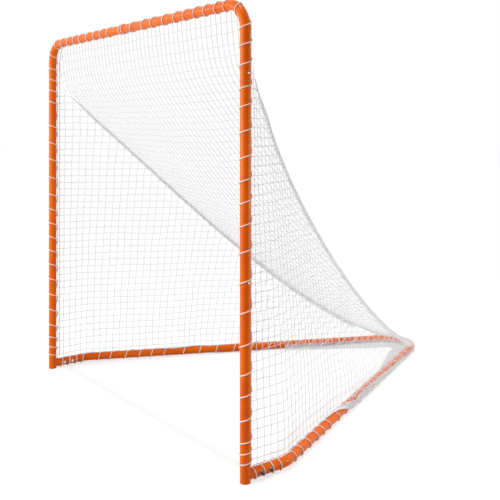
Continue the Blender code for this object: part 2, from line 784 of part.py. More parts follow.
def winding(name, places, frame_at, hand):
    """A cord wound round a tube: it goes through the net at each place and advances evenly between."""
    points = []
    for index, place in enumerate(places):
        following = places[index + 1] if index + 1 < len(places) else 2 * places[-1] - places[-2]
        before = places[index - 1] if index else 2 * places[0] - places[1]
        if index == 0:
            for degrees, reach in TURN[5:]:
                along = before + (place - before) * degrees / 360
                points.append(turn_point(frame_at, along, degrees, reach, hand))
        last = index == len(places) - 1
        for degrees, reach in (TURN[:5] if last else TURN):
            along = place + (following - place) * degrees / 360
            points.append(turn_point(frame_at, along, degrees, reach, hand))
    report_gap(name, points)
    return add_cord(name, points, CORD_R, CORD_SIDES, LACING_CORD)


def turn_point(frame_at, along, degrees, reach, hand):
    centre, toward_net, across = frame_at(along)
    angle = math.radians(degrees) * hand
    return centre + toward_net * (reach * math.cos(angle)) + across * (reach * math.sin(angle))


def report_gap(name, points):
    """Print the least gap between turns that lie next to each other."""
    turn = len(TURN)
    gaps = []
    for index, point in enumerate(points):
        for other in range(index + turn // 2, min(index + 2 * turn, len(points) - 1)):
            start = points[other]
            run = points[other + 1] - start
            share = min(max((point - start).dot(run) / run.length_squared, 0), 1)
            gaps.append((start + run * share - point).length - 2 * CORD_R)
    print(f"{name}: least gap between turns {min(gaps) * 1000:.1f} mm")


def cell_centres(edges):
    return [(a + b) / 2 for a, b in zip(edges, edges[1:])]


def make_lacing():
    low = edge_z(CELL_START_Y)
    high = BAR_Z - CORNER_R
    heights = [low + (high - low) * index / SIDE_CELLS_HIGH for index in range(SIDE_CELLS_HIGH + 1)]
    half = POST_X - CORNER_R
    columns = [-half + 2 * half * index / BAR_CELLS for index in range(BAR_CELLS + 1)]

    for side, sign in (("left", -1), ("right", 1)):
        def post_frame(z, sign=sign):
            return Vector((sign * POST_X, 0, z)), Vector((0, 1, 0)), Vector((sign, 0, 0))
        winding("lacing_post_" + side, cell_centres(heights), post_frame, -1)

        def base_frame(y, sign=sign):
            centre = Vector((sign * base_x(y), y, BASE_Z))
            tangent = Vector((sign * slope(base_x, y), 1, 0)).normalized()
            outward = Vector((tangent.y, -tangent.x, 0)) * sign
            turn = edge_turn(y)
            toward_net = outward * math.cos(turn) + Vector((0, 0, 1)) * math.sin(turn)
            across = outward * math.sin(turn) - Vector((0, 0, 1)) * math.cos(turn)
            return centre, toward_net, across
        flatten_underside(winding("lacing_base_" + side, cell_centres(cell_depths()), base_frame, 1))

    def bar_frame(x):
        return Vector((x, 0, BAR_Z)), Vector((0, 1, 0)), Vector((0, 0, 1))
    winding("lacing_crossbar", cell_centres(columns), bar_frame, 1)


def flatten_underside(cord):
    """The cord under a base tube is pressed flat by the goal's weight."""
    bm = bmesh.new()
    bm.from_mesh(cord.data)
    everything = bm.verts[:] + bm.edges[:] + bm.faces[:]
    split = bmesh.ops.bisect_plane(bm, geom=everything, dist=0.000001, plane_co=(0, 0, 0),
                                   plane_no=(0, 0, -1), clear_outer=True)
    rim = [item for item in split["geom_cut"] if isinstance(item, bmesh.types.BMEdge)]
    bmesh.ops.holes_fill(bm, edges=rim, sides=0)
    bmesh.ops.remove_doubles(bm, verts=bm.verts, dist=0.00001)
    bmesh.ops.recalc_face_normals(bm, faces=bm.faces)
    bm.to_mesh(cord.data)
    bm.free()


# ---- The whole goal ----

def clear_scene():
    for item in list(bpy.data.objects):
        bpy.data.objects.remove(item, do_unlink=True)


def centre_on_footprint():
    """Move everything so that the origin is the middle of the footprint."""
    front = -CORD_REACH
    back = APEX_Y + TUBE_R + GATHER_CLEARANCE + NET_THICKNESS
    shift = Matrix.Translation((0, -(front + back) / 2, 0))
    for item in bpy.context.scene.collection.objects:
        item.matrix_world = shift @ item.matrix_world


clear_scene()
make_front_frame()
make_ground_frame()
make_side_net("left", -1)
make_side_net("right", 1)
make_back_net()
make_ridge_cords()
make_apex_gather()
make_lacing()
centre_on_footprint()
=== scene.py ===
import math
import random

import bmesh
import bpy
from mathutils import Matrix, Vector, noise


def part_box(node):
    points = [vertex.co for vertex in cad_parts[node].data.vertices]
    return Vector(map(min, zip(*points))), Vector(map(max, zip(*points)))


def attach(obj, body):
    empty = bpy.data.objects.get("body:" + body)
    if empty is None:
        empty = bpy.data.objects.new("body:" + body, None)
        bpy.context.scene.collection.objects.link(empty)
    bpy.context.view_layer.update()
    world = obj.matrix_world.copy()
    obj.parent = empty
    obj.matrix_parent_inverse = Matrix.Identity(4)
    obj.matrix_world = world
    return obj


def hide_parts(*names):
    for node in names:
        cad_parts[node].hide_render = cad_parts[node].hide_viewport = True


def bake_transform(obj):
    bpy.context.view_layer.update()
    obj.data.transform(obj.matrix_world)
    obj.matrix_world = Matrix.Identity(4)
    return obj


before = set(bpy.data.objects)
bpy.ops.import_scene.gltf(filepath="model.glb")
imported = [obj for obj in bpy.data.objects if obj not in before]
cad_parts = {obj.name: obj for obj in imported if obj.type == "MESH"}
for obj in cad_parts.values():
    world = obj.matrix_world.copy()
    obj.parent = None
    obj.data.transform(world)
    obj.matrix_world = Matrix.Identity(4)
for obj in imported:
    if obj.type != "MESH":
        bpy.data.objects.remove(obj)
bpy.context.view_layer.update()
scene = bpy.context.scene

# Sizes that the frame already fixes. All shapes below are drawn with y = 0 at the posts.
postLow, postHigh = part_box("lower_post_right")
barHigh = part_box("corner_tube_right")[1]
bowLow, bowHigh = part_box("rear_bow")
tubeRadius = (postHigh[0] - postLow[0]) / 2
postX = (postHigh[0] + postLow[0]) / 2
frontY = (postHigh[1] + postLow[1]) / 2
barZ = barHigh[2] - tubeRadius
baseZ = (bowHigh[2] + bowLow[2]) / 2
apexY = bowHigh[1] - tubeRadius - frontY
up = Vector((0, 0, 1))
sideways = Vector((1, 0, 0))
backwards = Vector((0, 1, 0))
toScene = Vector((0, frontY, 0))

goalShape = {
    "wall": 0.0015, "fitGap": 0.0003, "cornerRadius": 0.105, "neckLength": 0.080,
    "lowerSeamZ": 0.7355, "upperSeamZ": 1.540, "barSeamX": -0.035,
    "straightToKnee": 0.180, "kneeRadius": 0.100, "bowRadius": 0.150, "bowLeg": 0.300,
    "buttonFromSeam": 0.035, "boltY": {"front": 0.062, "rear": 0.108}, "boltHole": 0.0043,
}
cornerRadius = goalShape["cornerRadius"]
boreRadius = tubeRadius - goalShape["wall"]
neckRadius = boreRadius - goalShape["fitGap"]
kneeRadius = goalShape["kneeRadius"]
bowRadius = goalShape["bowRadius"]
kneeY = goalShape["straightToKnee"]

# ---- The lines that the frame and the net follow

kneeToBow = Vector((-(postX - kneeRadius), apexY - bowRadius - kneeY))
sideAngle = math.atan2(-kneeToBow.x, kneeToBow.y) - math.asin((bowRadius - kneeRadius) / kneeToBow.length)
sideOut = Vector((math.cos(sideAngle), math.sin(sideAngle), 0))
sideBack = Vector((-math.sin(sideAngle), math.cos(sideAngle), 0))
kneeCentre = Vector((postX - kneeRadius, kneeY, baseZ))
bowCentre = Vector((0, apexY - bowRadius, baseZ))
kneeEnd = kneeCentre + sideOut * kneeRadius
bowStart = bowCentre + sideOut * bowRadius

netShape = {
    "edgeOffset": tubeRadius + 0.0045, "hangY": tubeRadius + 0.0075, "rearY": 1.728,
    "ridgeSteep": 0.19, "steepPower": 140, "ridgeFootZ": 0.050, "pullIn": 0.235,
    "mesh": 0.038, "sideStep": 0.0345, "twineRadius": 0.0012, "twineSides": 4, "knotRadius": 0.0019,
}
edgeOffset = netShape["edgeOffset"]
hangY = netShape["hangY"]


def baseX(y):  # the right base tube's centreline
    if y <= kneeY:
        return postX
    if y <= kneeEnd.y:
        return kneeCentre.x + math.sqrt(kneeRadius ** 2 - (y - kneeY) ** 2)
    if y <= bowStart.y:
        return kneeEnd.x - (y - kneeEnd.y) * math.tan(sideAngle)
    return math.sqrt(max(bowRadius ** 2 - (y - bowCentre.y) ** 2, 0))


def frontX(z):  # the mouth's outline, seen as a width
    rise = max(z - (barZ - cornerRadius), 0)
    return postX - cornerRadius + math.sqrt(max(cornerRadius ** 2 - rise ** 2, 0))


def frontZ(x):  # the mouth's outline, seen as a height
    run = max(abs(x) - (postX - cornerRadius), 0)
    return barZ - cornerRadius + math.sqrt(max(cornerRadius ** 2 - run ** 2, 0))


ridgeTopZ = frontZ(postX - cornerRadius * (1 - math.cos(math.pi / 4)))


def clamp(value):
    return min(max(value, 0.0), 1.0)


def depthShare(y):
    return clamp((y - hangY) / (apexY - hangY))


def ridgeZ(y):  # a steep drop from the corner, then a long hanging curve
    left = 1 - depthShare(y)
    steep, foot = netShape["ridgeSteep"], netShape["ridgeFootZ"]
    return foot + (ridgeTopZ - foot - steep) * left ** 1.40 + steep * left ** netShape["steepPower"]


def frontHold(y):
    return math.exp(-max(y - hangY, 0) / 0.08)


def pulledInX(y):
    return baseX(y) * (1 - netShape["pullIn"] * math.sin(math.pi * min(y, 1.70) / 1.75) ** 0.4)


def ridgeX(y):
    hold = frontHold(y)
    return hold * frontX(ridgeZ(y)) + (1 - hold) * pulledInX(y)


def edgeTurn(y):  # the net ends inside the top of the base tube in front, round its outer side at the back
    share = clamp((y - 0.66) / 0.30)
    return math.radians(105 - 150 * share * share * (3 - 2 * share))


def edgeZ(y):
    return baseZ + edgeOffset * math.sin(edgeTurn(y))


def sideX(y, z):
    tubeTop = baseZ + tubeRadius
    low = max(edgeZ(y), tubeTop)
    foot = baseX(y) + edgeOffset * math.cos(edgeTurn(y)) / math.cos(sideAngle)
    if z < low:  # the net lies against the tube's outer face
        rise = clamp(abs(z - baseZ) / edgeOffset)
        bulge = (math.sqrt(1 - rise * rise) - math.cos(edgeTurn(y))) * edgeOffset / math.cos(sideAngle)
        return foot + max(bulge, -0.02) * clamp((edgeTurn(y) < 1.2) * 1.0)
    share = clamp((z - low) / (ridgeZ(y) - low))
    leaning = foot + (pulledInX(y) - foot) * share ** 1.5
    hold = frontHold(y)
    return hold * (frontX(z) * share + foot * (1 - share)) + (1 - hold) * leaning


def backZ(x, y):
    across = min(abs(x) / ridgeX(y), 1)
    lift = (frontZ(x) - ridgeTopZ) * math.exp(-max(y - hangY, 0) / 0.05)
    sag = 0.060 * math.sin(math.pi * depthShare(y)) * (1 - across ** 2)
    return ridgeZ(y) + lift - sag


def slopeOf(function, y):
    return (function(y + 0.002) - function(y - 0.002)) / 0.004


print("lines of the frame and net are ready")

# ---- Helpers for meshes and node trees


def meshFrom(name, bm):
    mesh = bpy.data.meshes.new(name)
    bm.to_mesh(mesh)
    bm.free()
    return mesh


def linked(name, data):
    made = bpy.data.objects.new(name, data)
    scene.collection.objects.link(made)
    return made


def newTree(name, kind=bpy.data.materials):
    made = kind.new(name)
    made.use_nodes = True
    made.node_tree.nodes.clear()
    return made, made.node_tree


def node(tree, kind, inputs=None, **settings):
    # an input takes a plain value, a socket or a node, which stands for its first output, or a list of those
    made = tree.nodes.new(kind)
    for key, value in settings.items():
        setattr(made, key, value)
    for key, given in (inputs or {}).items():
        for value in given if isinstance(given, list) else [given]:
            if isinstance(value, bpy.types.Node):
                value = value.outputs[0]
            if isinstance(value, bpy.types.NodeSocket):
                tree.links.new(value, made.inputs[key])
            else:
                made.inputs[key].default_value = value
    return made


def mathOf(tree, operation, *values):
    return node(tree, "ShaderNodeMath", dict(enumerate(values)), operation=operation)


# ---- Camera, light and floor

cameraPlace = {"place": (3.337, -1.753, 1.341), "turn": 51.05, "lens": 55.57, "shiftX": -0.0667, "shiftY": -0.232,
               "sensor": 36, "reach": 200}


def makeCamera():
    cameraData = bpy.data.cameras.new("photoCamera")
    cameraData.lens = cameraPlace["lens"]
    cameraData.sensor_width = cameraPlace["sensor"]
    cameraData.shift_x = cameraPlace["shiftX"]
    cameraData.shift_y = cameraPlace["shiftY"]
    cameraData.clip_end = cameraPlace["reach"]
    camera = linked("photoCamera", cameraData)
    camera.location = Vector(cameraPlace["place"]) + toScene
    camera.rotation_euler = (math.radians(90), 0, math.radians(cameraPlace["turn"]))
    scene.camera = camera
    scene.view_settings.view_transform = "Standard"


studio = {"skyForShading": 0.36, "keyStrength": 0.95, "keyAngle": 26, "keyFrom": (-0.30, -0.95, 0.13),
          "overheadStrength": 1.2, "overheadAngle": 2.2, "overheadFrom": (0.0, -0.035, 1.0),
          "rearPlace": (2.5, 2.6, 0.9), "rearSize": (1.0, 0.8), "rearPower": 26,
          "frontPlace": (-0.05, -2.9, 1.45), "frontSize": (1.1, 1.7), "frontPower": 36,
          "stripPlace": (-4.4, -3.8, 2.5), "stripSize": (1.5, 0.22), "stripPower": 62,
          "stripColor": (1.0, 0.86, 0.70), "floorGlow": 0.672, "floorGrey": 0.42, "floorDrop": 0.0004, "floorSize": 60}
white = (1, 1, 1, 1)


def makeWorld():
    world, tree = newTree("whiteStudio", bpy.data.worlds)
    path = node(tree, "ShaderNodeLightPath").outputs
    seen = mathOf(tree, "MAXIMUM", path["Is Camera Ray"], path["Is Glossy Ray"])
    seenAtAll = mathOf(tree, "MAXIMUM", seen, path["Is Transmission Ray"])
    dim = node(tree, "ShaderNodeBackground", {0: white, 1: studio["skyForShading"]})
    plain = node(tree, "ShaderNodeBackground", {0: white, 1: 1.0})
    mix = node(tree, "ShaderNodeMixShader", {0: seenAtAll, 1: dim, 2: plain})
    node(tree, "ShaderNodeOutputWorld", {0: mix})
    scene.world = world


def aimLamp(lamp, towards):
    lamp.rotation_euler = Vector(towards).to_track_quat("-Z", "Y").to_euler()


def makeSun(name, comesFrom, angle, strength):
    lampData = bpy.data.lights.new(name, "SUN")
    lampData.angle = math.radians(angle)
    lampData.energy = strength
    aimLamp(linked(name, lampData), -Vector(comesFrom))


def makePanel(name, place, size, power, towards, color=(1, 1, 1)):
    lampData = bpy.data.lights.new(name, "AREA")
    lampData.shape = "RECTANGLE"
    lampData.size, lampData.size_y = size
    lampData.energy = power
    lampData.color = color
    lamp = linked(name, lampData)
    lamp.location = Vector(place) + toScene
    aimLamp(lamp, Vector(towards) + toScene - lamp.location)


def makeFloor():
    # the floor glows towards the camera, so that it is as white as the backdrop and still takes the shadow
    floorMaterial, tree = newTree("paleFloor")
    path = node(tree, "ShaderNodeLightPath").outputs
    seen = mathOf(tree, "MAXIMUM", path["Is Camera Ray"], path["Is Glossy Ray"])
    nothing = node(tree, "ShaderNodeEmission", {0: white, 1: 0.0})
    glow = node(tree, "ShaderNodeEmission", {0: white, 1: studio["floorGlow"]})
    glowMix = node(tree, "ShaderNodeMixShader", {0: seen, 1: nothing, 2: glow})
    grey = studio["floorGrey"]
    matte = node(tree, "ShaderNodeBsdfDiffuse", {0: (grey, grey, grey, 1)})
    node(tree, "ShaderNodeOutputMaterial", {0: node(tree, "ShaderNodeAddShader", {0: glowMix, 1: matte})})
    bm = bmesh.new()
    bmesh.ops.create_grid(bm, x_segments=1, y_segments=1, size=studio["floorSize"])
    for vert in bm.verts:
        vert.co.z = -studio["floorDrop"]
    mesh = meshFrom("floor", bm)
    mesh.materials.append(floorMaterial)
    linked("floor", mesh)


makeCamera()
makeWorld()
makeSun("keyLamp", studio["keyFrom"], studio["keyAngle"], studio["keyStrength"])
makeSun("overheadLamp", studio["overheadFrom"], studio["overheadAngle"], studio["overheadStrength"])
makePanel("rearLamp", studio["rearPlace"], studio["rearSize"], studio["rearPower"], (0.4, 1.2, 0.1))
# soft boxes before the mouth and behind the right side, and a long low strip for the pale line along the crossbar
makePanel("frontLamp", studio["frontPlace"], studio["frontSize"], studio["frontPower"], (0, 0, 1.2))
makePanel("stripLamp", studio["stripPlace"], studio["stripSize"], studio["stripPower"], (0.2, 0, 1.8),
          studio["stripColor"])
makeFloor()
print("camera, light and floor are ready")

# ---- Finishes
# patch and grain: a noise's scale and detail; roughness: its least and most; bump: strength and distance

coatFinish = {"color": (0.95, 0.160, 0.001), "shade": (0.89, 0.126, 0.001), "patch": (9, 4), "dirt": (0.42, 0.12, 0.04),
              "dirtHeight": 0.10, "dirtShare": 0.55, "dirtSpeck": (55, 6, 0.7), "scratch": (140, 5, 0.6),
              "roughness": (0.27, 0.41), "wave": (60, 2), "waveBump": (0.05, 0.002), "peel": (420, 2),
              "peelBump": (0.06, 0.0006), "specular": 0.36, "tint": (1.0, 0.60, 0.34, 1)}
twineFinish = {"color": (0.88, 0.88, 0.885), "shade": (0.80, 0.80, 0.82), "patch": (14, 4), "grain": (900, 3),
               "roughness": (0.72, 0.95), "bump": (0.5, 0.0006), "sheen": 0.5}
metalFinish = {"color": (0.66, 0.66, 0.68), "shade": (0.50, 0.50, 0.52), "patch": (120, 4), "grain": (300, 4),
               "roughness": (0.208, 0.364), "bump": (0.12, 0.0003), "metallic": 1.0}
springFinish = {**metalFinish, "color": (0.26, 0.27, 0.30), "shade": (0.16, 0.16, 0.18), "grain": (500, 4),
                "roughness": (0.272, 0.476)}
plasticFinish = {"color": (0.018, 0.018, 0.021), "shade": (0.010, 0.010, 0.012), "patch": (90, 3),
                 "grain": (900, 3), "roughness": (0.30, 0.46), "bump": (0.2, 0.0003)}
cordFinish = {"color": (0.97, 0.955, 0.92), "shade": (0.90, 0.87, 0.81), "plaits": 4.0, "plaitLength": 0.0085,
              "plaitBump": (0.4, 0.0006), "grain": (1600, 3), "roughness": (0.68, 0.90), "bump": (0.2, 0.0003),
              "sheen": 0.6}


def newFinish(name, finish):
    material, tree = newTree(name)
    shader = node(tree, "ShaderNodeBsdfPrincipled", {"Metallic": finish.get("metallic", 0.0)})
    if "sheen" in finish:
        shader.inputs["Sheen Weight"].default_value = finish["sheen"]
        shader.inputs["Sheen Roughness"].default_value = 0.45
    node(tree, "ShaderNodeOutputMaterial", {0: shader})
    return material, tree, shader.inputs, node(tree, "ShaderNodeTexCoord").outputs["Object"]


def mixColor(tree, factor, first, second):
    return node(tree, "ShaderNodeMix", {0: factor, 6: first, 7: (*second, 1)}, data_type="RGBA").outputs[2]


def stretch(tree, source, low, high, toLow, toHigh):
    return node(tree, "ShaderNodeMapRange", {0: source, 1: low, 2: high, 3: toLow, 4: toHigh}).outputs[0]


def noiseAt(tree, where, scale, detail, roughness=0.55):
    inputs = {"Vector": where, "Scale": scale, "Detail": detail, "Roughness": roughness}
    return node(tree, "ShaderNodeTexNoise", inputs).outputs[0]


def patchAt(tree, where, scale, detail):
    return stretch(tree, noiseAt(tree, where, scale, detail), 0.35, 0.65, 0.0, 1.0)


def bumpFrom(tree, height, strength, distance, below=None):
    inputs = {"Strength": strength, "Distance": distance, "Height": height}
    if below:
        inputs["Normal"] = below
    return node(tree, "ShaderNodeBump", inputs).outputs[0]


def makeCoat():
    # powder coat: a soft orange peel, fine scratches, and specks of dirt near the ground
    material, tree, inputs, where = newFinish("orangePowderCoat", coatFinish)
    color = mixColor(tree, patchAt(tree, where, *coatFinish["patch"]), (*coatFinish["color"], 1), coatFinish["shade"])
    height = node(tree, "ShaderNodeSeparateXYZ", {0: where}).outputs[2]
    low = stretch(tree, height, 0.0, coatFinish["dirtHeight"], coatFinish["dirtShare"], 0.0)
    speck = stretch(tree, noiseAt(tree, where, *coatFinish["dirtSpeck"]), 0.52, 0.72, 0.0, 1.0)
    dirty = mixColor(tree, mathOf(tree, "MULTIPLY", low, speck), color, coatFinish["dirt"])
    tree.links.new(dirty, inputs["Base Color"])
    scratch = noiseAt(tree, where, *coatFinish["scratch"])
    tree.links.new(stretch(tree, scratch, 0.3, 0.75, *coatFinish["roughness"]), inputs["Roughness"])
    wave = bumpFrom(tree, noiseAt(tree, where, *coatFinish["wave"]), *coatFinish["waveBump"])
    peel = bumpFrom(tree, noiseAt(tree, where, *coatFinish["peel"]), *coatFinish["peelBump"], wave)
    tree.links.new(peel, inputs["Normal"])
    inputs["Specular IOR Level"].default_value = coatFinish["specular"]
    inputs["Specular Tint"].default_value = coatFinish["tint"]
    return material


def makeGrained(name, finish):
    # a slow patchiness in the colour, and a fine grain in the roughness and the bump
    material, tree, inputs, where = newFinish(name, finish)
    patch = patchAt(tree, where, *finish["patch"])
    tree.links.new(mixColor(tree, patch, (*finish["color"], 1), finish["shade"]), inputs["Base Color"])
    grain = noiseAt(tree, where, *finish["grain"])
    tree.links.new(stretch(tree, grain, 0.3, 0.7, *finish["roughness"]), inputs["Roughness"])
    tree.links.new(bumpFrom(tree, grain, *finish["bump"]), inputs["Normal"])
    return material


def makeCordFinish():
    # the plait follows two attributes of the cord: how far along it a point is, and where round it
    material, tree, inputs, where = newFinish("creamBraidedCord", cordFinish)
    along = node(tree, "ShaderNodeAttribute", attribute_name="cordAlong").outputs["Fac"]
    place = node(tree, "ShaderNodeAttribute", attribute_name="cordRound").outputs["Vector"]
    ring = node(tree, "ShaderNodeSeparateXYZ", {0: place}).outputs
    turns = mathOf(tree, "MULTIPLY", mathOf(tree, "ARCTAN2", ring[1], ring[0]), cordFinish["plaits"])
    run = mathOf(tree, "MULTIPLY", along, 2 * math.pi / cordFinish["plaitLength"])
    strands = [mathOf(tree, "SINE", mathOf(tree, operation, run, turns)) for operation in ("ADD", "SUBTRACT")]
    lift = stretch(tree, mathOf(tree, "MAXIMUM", *strands).outputs[0], -0.4, 1.0, 0.0, 1.0)
    # the grooves between the strands take the darker shade colour and the strand crowns the paler one: painted shade
    tree.links.new(mixColor(tree, lift, (*cordFinish["shade"], 1), cordFinish["color"]), inputs["Base Color"])
    fuzz = noiseAt(tree, where, *cordFinish["grain"])
    tree.links.new(stretch(tree, fuzz, 0.3, 0.7, *cordFinish["roughness"]), inputs["Roughness"])
    under = bumpFrom(tree, fuzz, *cordFinish["bump"])
    tree.links.new(bumpFrom(tree, lift, *cordFinish["plaitBump"], under), inputs["Normal"])
    return material


coat = makeCoat()
twine = makeGrained("whiteNetTwine", twineFinish)
# a lighter copy of the net twine for the edge wound on the tubes, the hem and the gather, brightened so that it stays
# white where it lies in shade: painted light
brightenedHemTwine = makeGrained("hemTwinePaintedLight", {**twineFinish, "color": (0.96, 0.96, 0.96), "shade": (0.91, 0.91, 0.92)})
seamTwine = makeGrained("greySeamCord", {**twineFinish, "color": (0.91, 0.92, 0.94), "shade": (0.83, 0.84, 0.87)})
cordMaterial = makeCordFinish()
zinc = makeGrained("brightZincPlate", metalFinish)
tubeZinc = makeGrained("plainZincTube", {**metalFinish, "roughness": (0.304, 0.532)})
springSteel = makeGrained("darkSpringSteel", springFinish)
plastic = makeGrained("blackMouldedPlastic", plasticFinish)
print("finishes are ready")

# ---- Helpers for pieces


def addPiece(name, bm, material, slot, body, *cadNodes, smoothAngle=40, shift=True):
    if shift:
        bmesh.ops.translate(bm, verts=bm.verts, vec=toScene)
    mesh = meshFrom(name, bm)
    mesh.materials.append(material)
    mesh.shade_smooth()
    mesh.set_sharp_from_angle(angle=math.radians(smoothAngle))
    return tieDown(linked(name, mesh), slot, body, *cadNodes)


def tieDown(piece, slot, body, *cadNodes):
    if body:  # a piece that bends between two bodies has none of its own
        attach(piece, body)
    if cadNodes:
        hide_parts(*cadNodes)
    return piece


def tangentsOf(points):
    return [(points[min(i + 1, len(points) - 1)] - points[max(i - 1, 0)]).normalized() for i in range(len(points))]


def bridgeRings(bm, rings, closed=False):
    following = rings[1:] + (rings[:1] if closed else [])
    for ring, nextRing in zip(rings, following):
        for side in range(len(ring)):
            after = (side + 1) % len(ring)
            bm.faces.new((ring[side], ring[after], nextRing[after], nextRing[side]))


def arcPoints(centre, radius, start, end, steps, axisA, axisB):
    angles = [start + (end - start) * step / steps for step in range(steps + 1)]
    return [centre + axisA * (radius * math.cos(a)) + axisB * (radius * math.sin(a)) for a in angles]


# ---- Orange tubes

tubeLook = {"sides": 48, "edgeRound": 0.0004, "cornerSteps": 28, "kneeSteps": 12, "bowSteps": 40}


def shellTube(name, stations, planeNormal, *cadNodes, holes):
    # stations: (point, outer radius, bore radius) along the tube's line, from one open end to the other
    bm = bmesh.new()
    points = [station[0] for station in stations]
    tangents = tangentsOf(points)
    rings = []
    count = tubeLook["sides"]
    for order, column in ((1, 1), (-1, 2)):
        for station, tangent in list(zip(stations, tangents))[::order]:
            across = tangent.cross(planeNormal).normalized()
            ring = []
            for side in range(count):
                angle = 2 * math.pi * side / count
                offset = planeNormal * math.cos(angle) + across * math.sin(angle)
                ring.append(bm.verts.new(station[0] + offset * station[column]))
            rings.append(ring)
    bridgeRings(bm, rings, closed=True)
    bmesh.ops.recalc_face_normals(bm, faces=bm.faces)
    mesh = drilled(linked(name, meshFrom(name, bm)), holes)
    bm = bmesh.new()
    bm.from_mesh(mesh)
    bpy.data.meshes.remove(mesh)
    return addPiece(name, bm, coat, "orange_powder_coat", "goal", *cadNodes)


def drilled(made, holes):
    guides = []
    for centre, direction, radius, length in holes:
        bm = bmesh.new()
        bmesh.ops.create_cone(bm, cap_ends=True, segments=32, radius1=radius, radius2=radius, depth=length)
        turn = up.rotation_difference(direction.normalized()).to_matrix().to_4x4()
        bm.transform(Matrix.Translation(centre) @ turn)
        guides.append(linked("holeGuide", meshFrom("holeGuide", bm)))
        cutter = made.modifiers.new("hole", "BOOLEAN")
        cutter.operation = "DIFFERENCE"
        cutter.solver = "EXACT"
        cutter.object = guides[-1]
    mesh = bpy.data.meshes.new_from_object(made.evaluated_get(bpy.context.evaluated_depsgraph_get()))
    for spent in guides + [made]:
        bpy.data.objects.remove(spent)
    return mesh


def openStart(point, direction):  # a sawn end with its edge just broken
    broken = tubeLook["edgeRound"]
    return [(point, tubeRadius - broken, boreRadius + broken / 2),
            (point + direction * broken, tubeRadius, boreRadius)]


def neckEnd(seam, direction):
    gap, length = goalShape["fitGap"], goalShape["neckLength"]
    wall = goalShape["wall"]
    return [(seam - direction * (gap + 0.0040), tubeRadius, boreRadius),
            (seam - direction * (gap + 0.0018), tubeRadius - 0.0003, boreRadius - 0.0003),
            (seam - direction * (gap + 0.0004), neckRadius + 0.0002, neckRadius - wall),
            (seam - direction * gap, neckRadius, neckRadius - wall),
            (seam + direction * (length - 0.002), neckRadius, neckRadius - wall),
            (seam + direction * length, neckRadius - wall / 2, neckRadius - wall)]


def localRings(seam, direction, offset, span=0.012):
    # extra rings on both sides of a button hole, so that the cut stays a local one
    return [(seam + direction * (offset + side), tubeRadius, boreRadius) for side in (-span, span)]


buttonHole = {"radius": 0.0048, "depth": 0.012}


def buttonHoleAt(place, outward):
    return (place + outward * tubeRadius, outward, buttonHole["radius"], buttonHole["depth"])


def makeTubes():
    fromSeam = goalShape["buttonFromSeam"]
    barSeam = Vector((goalShape["barSeamX"], 0, barZ))
    for side, sign in (("left", -1), ("right", 1)):
        outward = Vector((sign, 0, 0))
        foot, lowerSeam, upperSeam = [Vector((sign * postX, 0, z)) for z in
                                      (0, goalShape["lowerSeamZ"], goalShape["upperSeamZ"])]
        lowerHole = buttonHoleAt(lowerSeam + up * fromSeam, outward)
        upperHole = buttonHoleAt(upperSeam + up * fromSeam, outward)
        shellTube("lowerPost" + side.title(), openStart(foot, up) + neckEnd(lowerSeam, up), backwards,
                  "lower_post_" + side, holes=[lowerHole])
        stations = openStart(lowerSeam, up) + localRings(lowerSeam, up, fromSeam) + neckEnd(upperSeam, up)
        shellTube("middlePost" + side.title(), stations, backwards, "middle_post_" + side,
                  holes=[lowerHole, upperHole])
        centre = Vector((sign * (postX - cornerRadius), 0, barZ - cornerRadius))
        bend = [(point, tubeRadius, boreRadius) for point in
                arcPoints(centre, cornerRadius, 0, math.pi / 2, tubeLook["cornerSteps"], outward, up)]
        barHole = buttonHoleAt(barSeam - sideways * fromSeam, up)
        stations = openStart(upperSeam, up) + localRings(upperSeam, up, fromSeam) + bend
        if sign < 0:
            stations += localRings(barSeam, sideways, -fromSeam) + openStart(barSeam, -sideways)[::-1]
        else:
            stations += neckEnd(barSeam, -sideways)
        shellTube("cornerTube" + side.title(), stations, backwards, "corner_tube_" + side,
                  holes=[upperHole, barHole])
    joint = bowStart - sideBack * goalShape["bowLeg"]
    legs = []
    for side, sign in (("left", -1), ("right", 1)):
        def mirrored(vector, sign=sign):
            return Vector((sign * vector.x, vector.y, vector.z))
        start = Vector((postX, 0.4 * tubeRadius, baseZ))
        knee = arcPoints(kneeCentre, kneeRadius, 0, sideAngle, tubeLook["kneeSteps"], sideways, backwards)
        cope = (Vector((sign * postX, 0, baseZ)), up, tubeRadius + goalShape["fitGap"], 0.1)
        stations = openStart(start, backwards) + [(Vector((postX, y, baseZ)), tubeRadius, boreRadius)
                                                  for y in (0.050, 0.120)]
        stations += [(point, tubeRadius, boreRadius) for point in knee]
        stations += localRings(joint, sideBack, -fromSeam) + openStart(joint, -sideBack)[::-1]
        stations = [(mirrored(point), radius, bore) for point, radius, bore in stations]
        inward = mirrored(-sideOut)
        hole = buttonHoleAt(mirrored(joint - sideBack * fromSeam), inward)
        boltHoles = [(Vector((sign * postX, y, baseZ)), sideways, goalShape["boltHole"], 0.06)
                     for y in goalShape["boltY"].values()]
        shellTube("baseTube" + side.title(), stations, up, "base_side_tube_" + side, holes=[cope, hole] + boltHoles)
        legs.append((hole, [(mirrored(p), r, b) for p, r, b in neckEnd(joint, -sideBack)]))
    arc = [(point, tubeRadius, boreRadius) for point in
           arcPoints(bowCentre, bowRadius, sideAngle, math.pi - sideAngle, tubeLook["bowSteps"], sideways, backwards)]
    shellTube("rearBow", legs[1][1][::-1] + arc + legs[0][1], up, "rear_bow", holes=[legs[0][0], legs[1][0]])


makeTubes()
print("tubes are made")

# ---- Snap buttons, bolts, nuts and washers

buttonLook = {"radius": 0.0045, "proud": 0.0055, "flangeRadius": 0.0065, "flangeTop": 0.0158, "flange": 0.0012,
              "springFold": 0.0122}
boltLook = {"radius": 0.004, "headRadius": 0.0075, "headHeight": 0.0053, "threadPitch": 0.00125,
            "threadLength": 0.016, "threadPast": 0.0095, "washerRadius": 0.008, "washer": 0.0016,
            "washerBore": goalShape["boltHole"]}


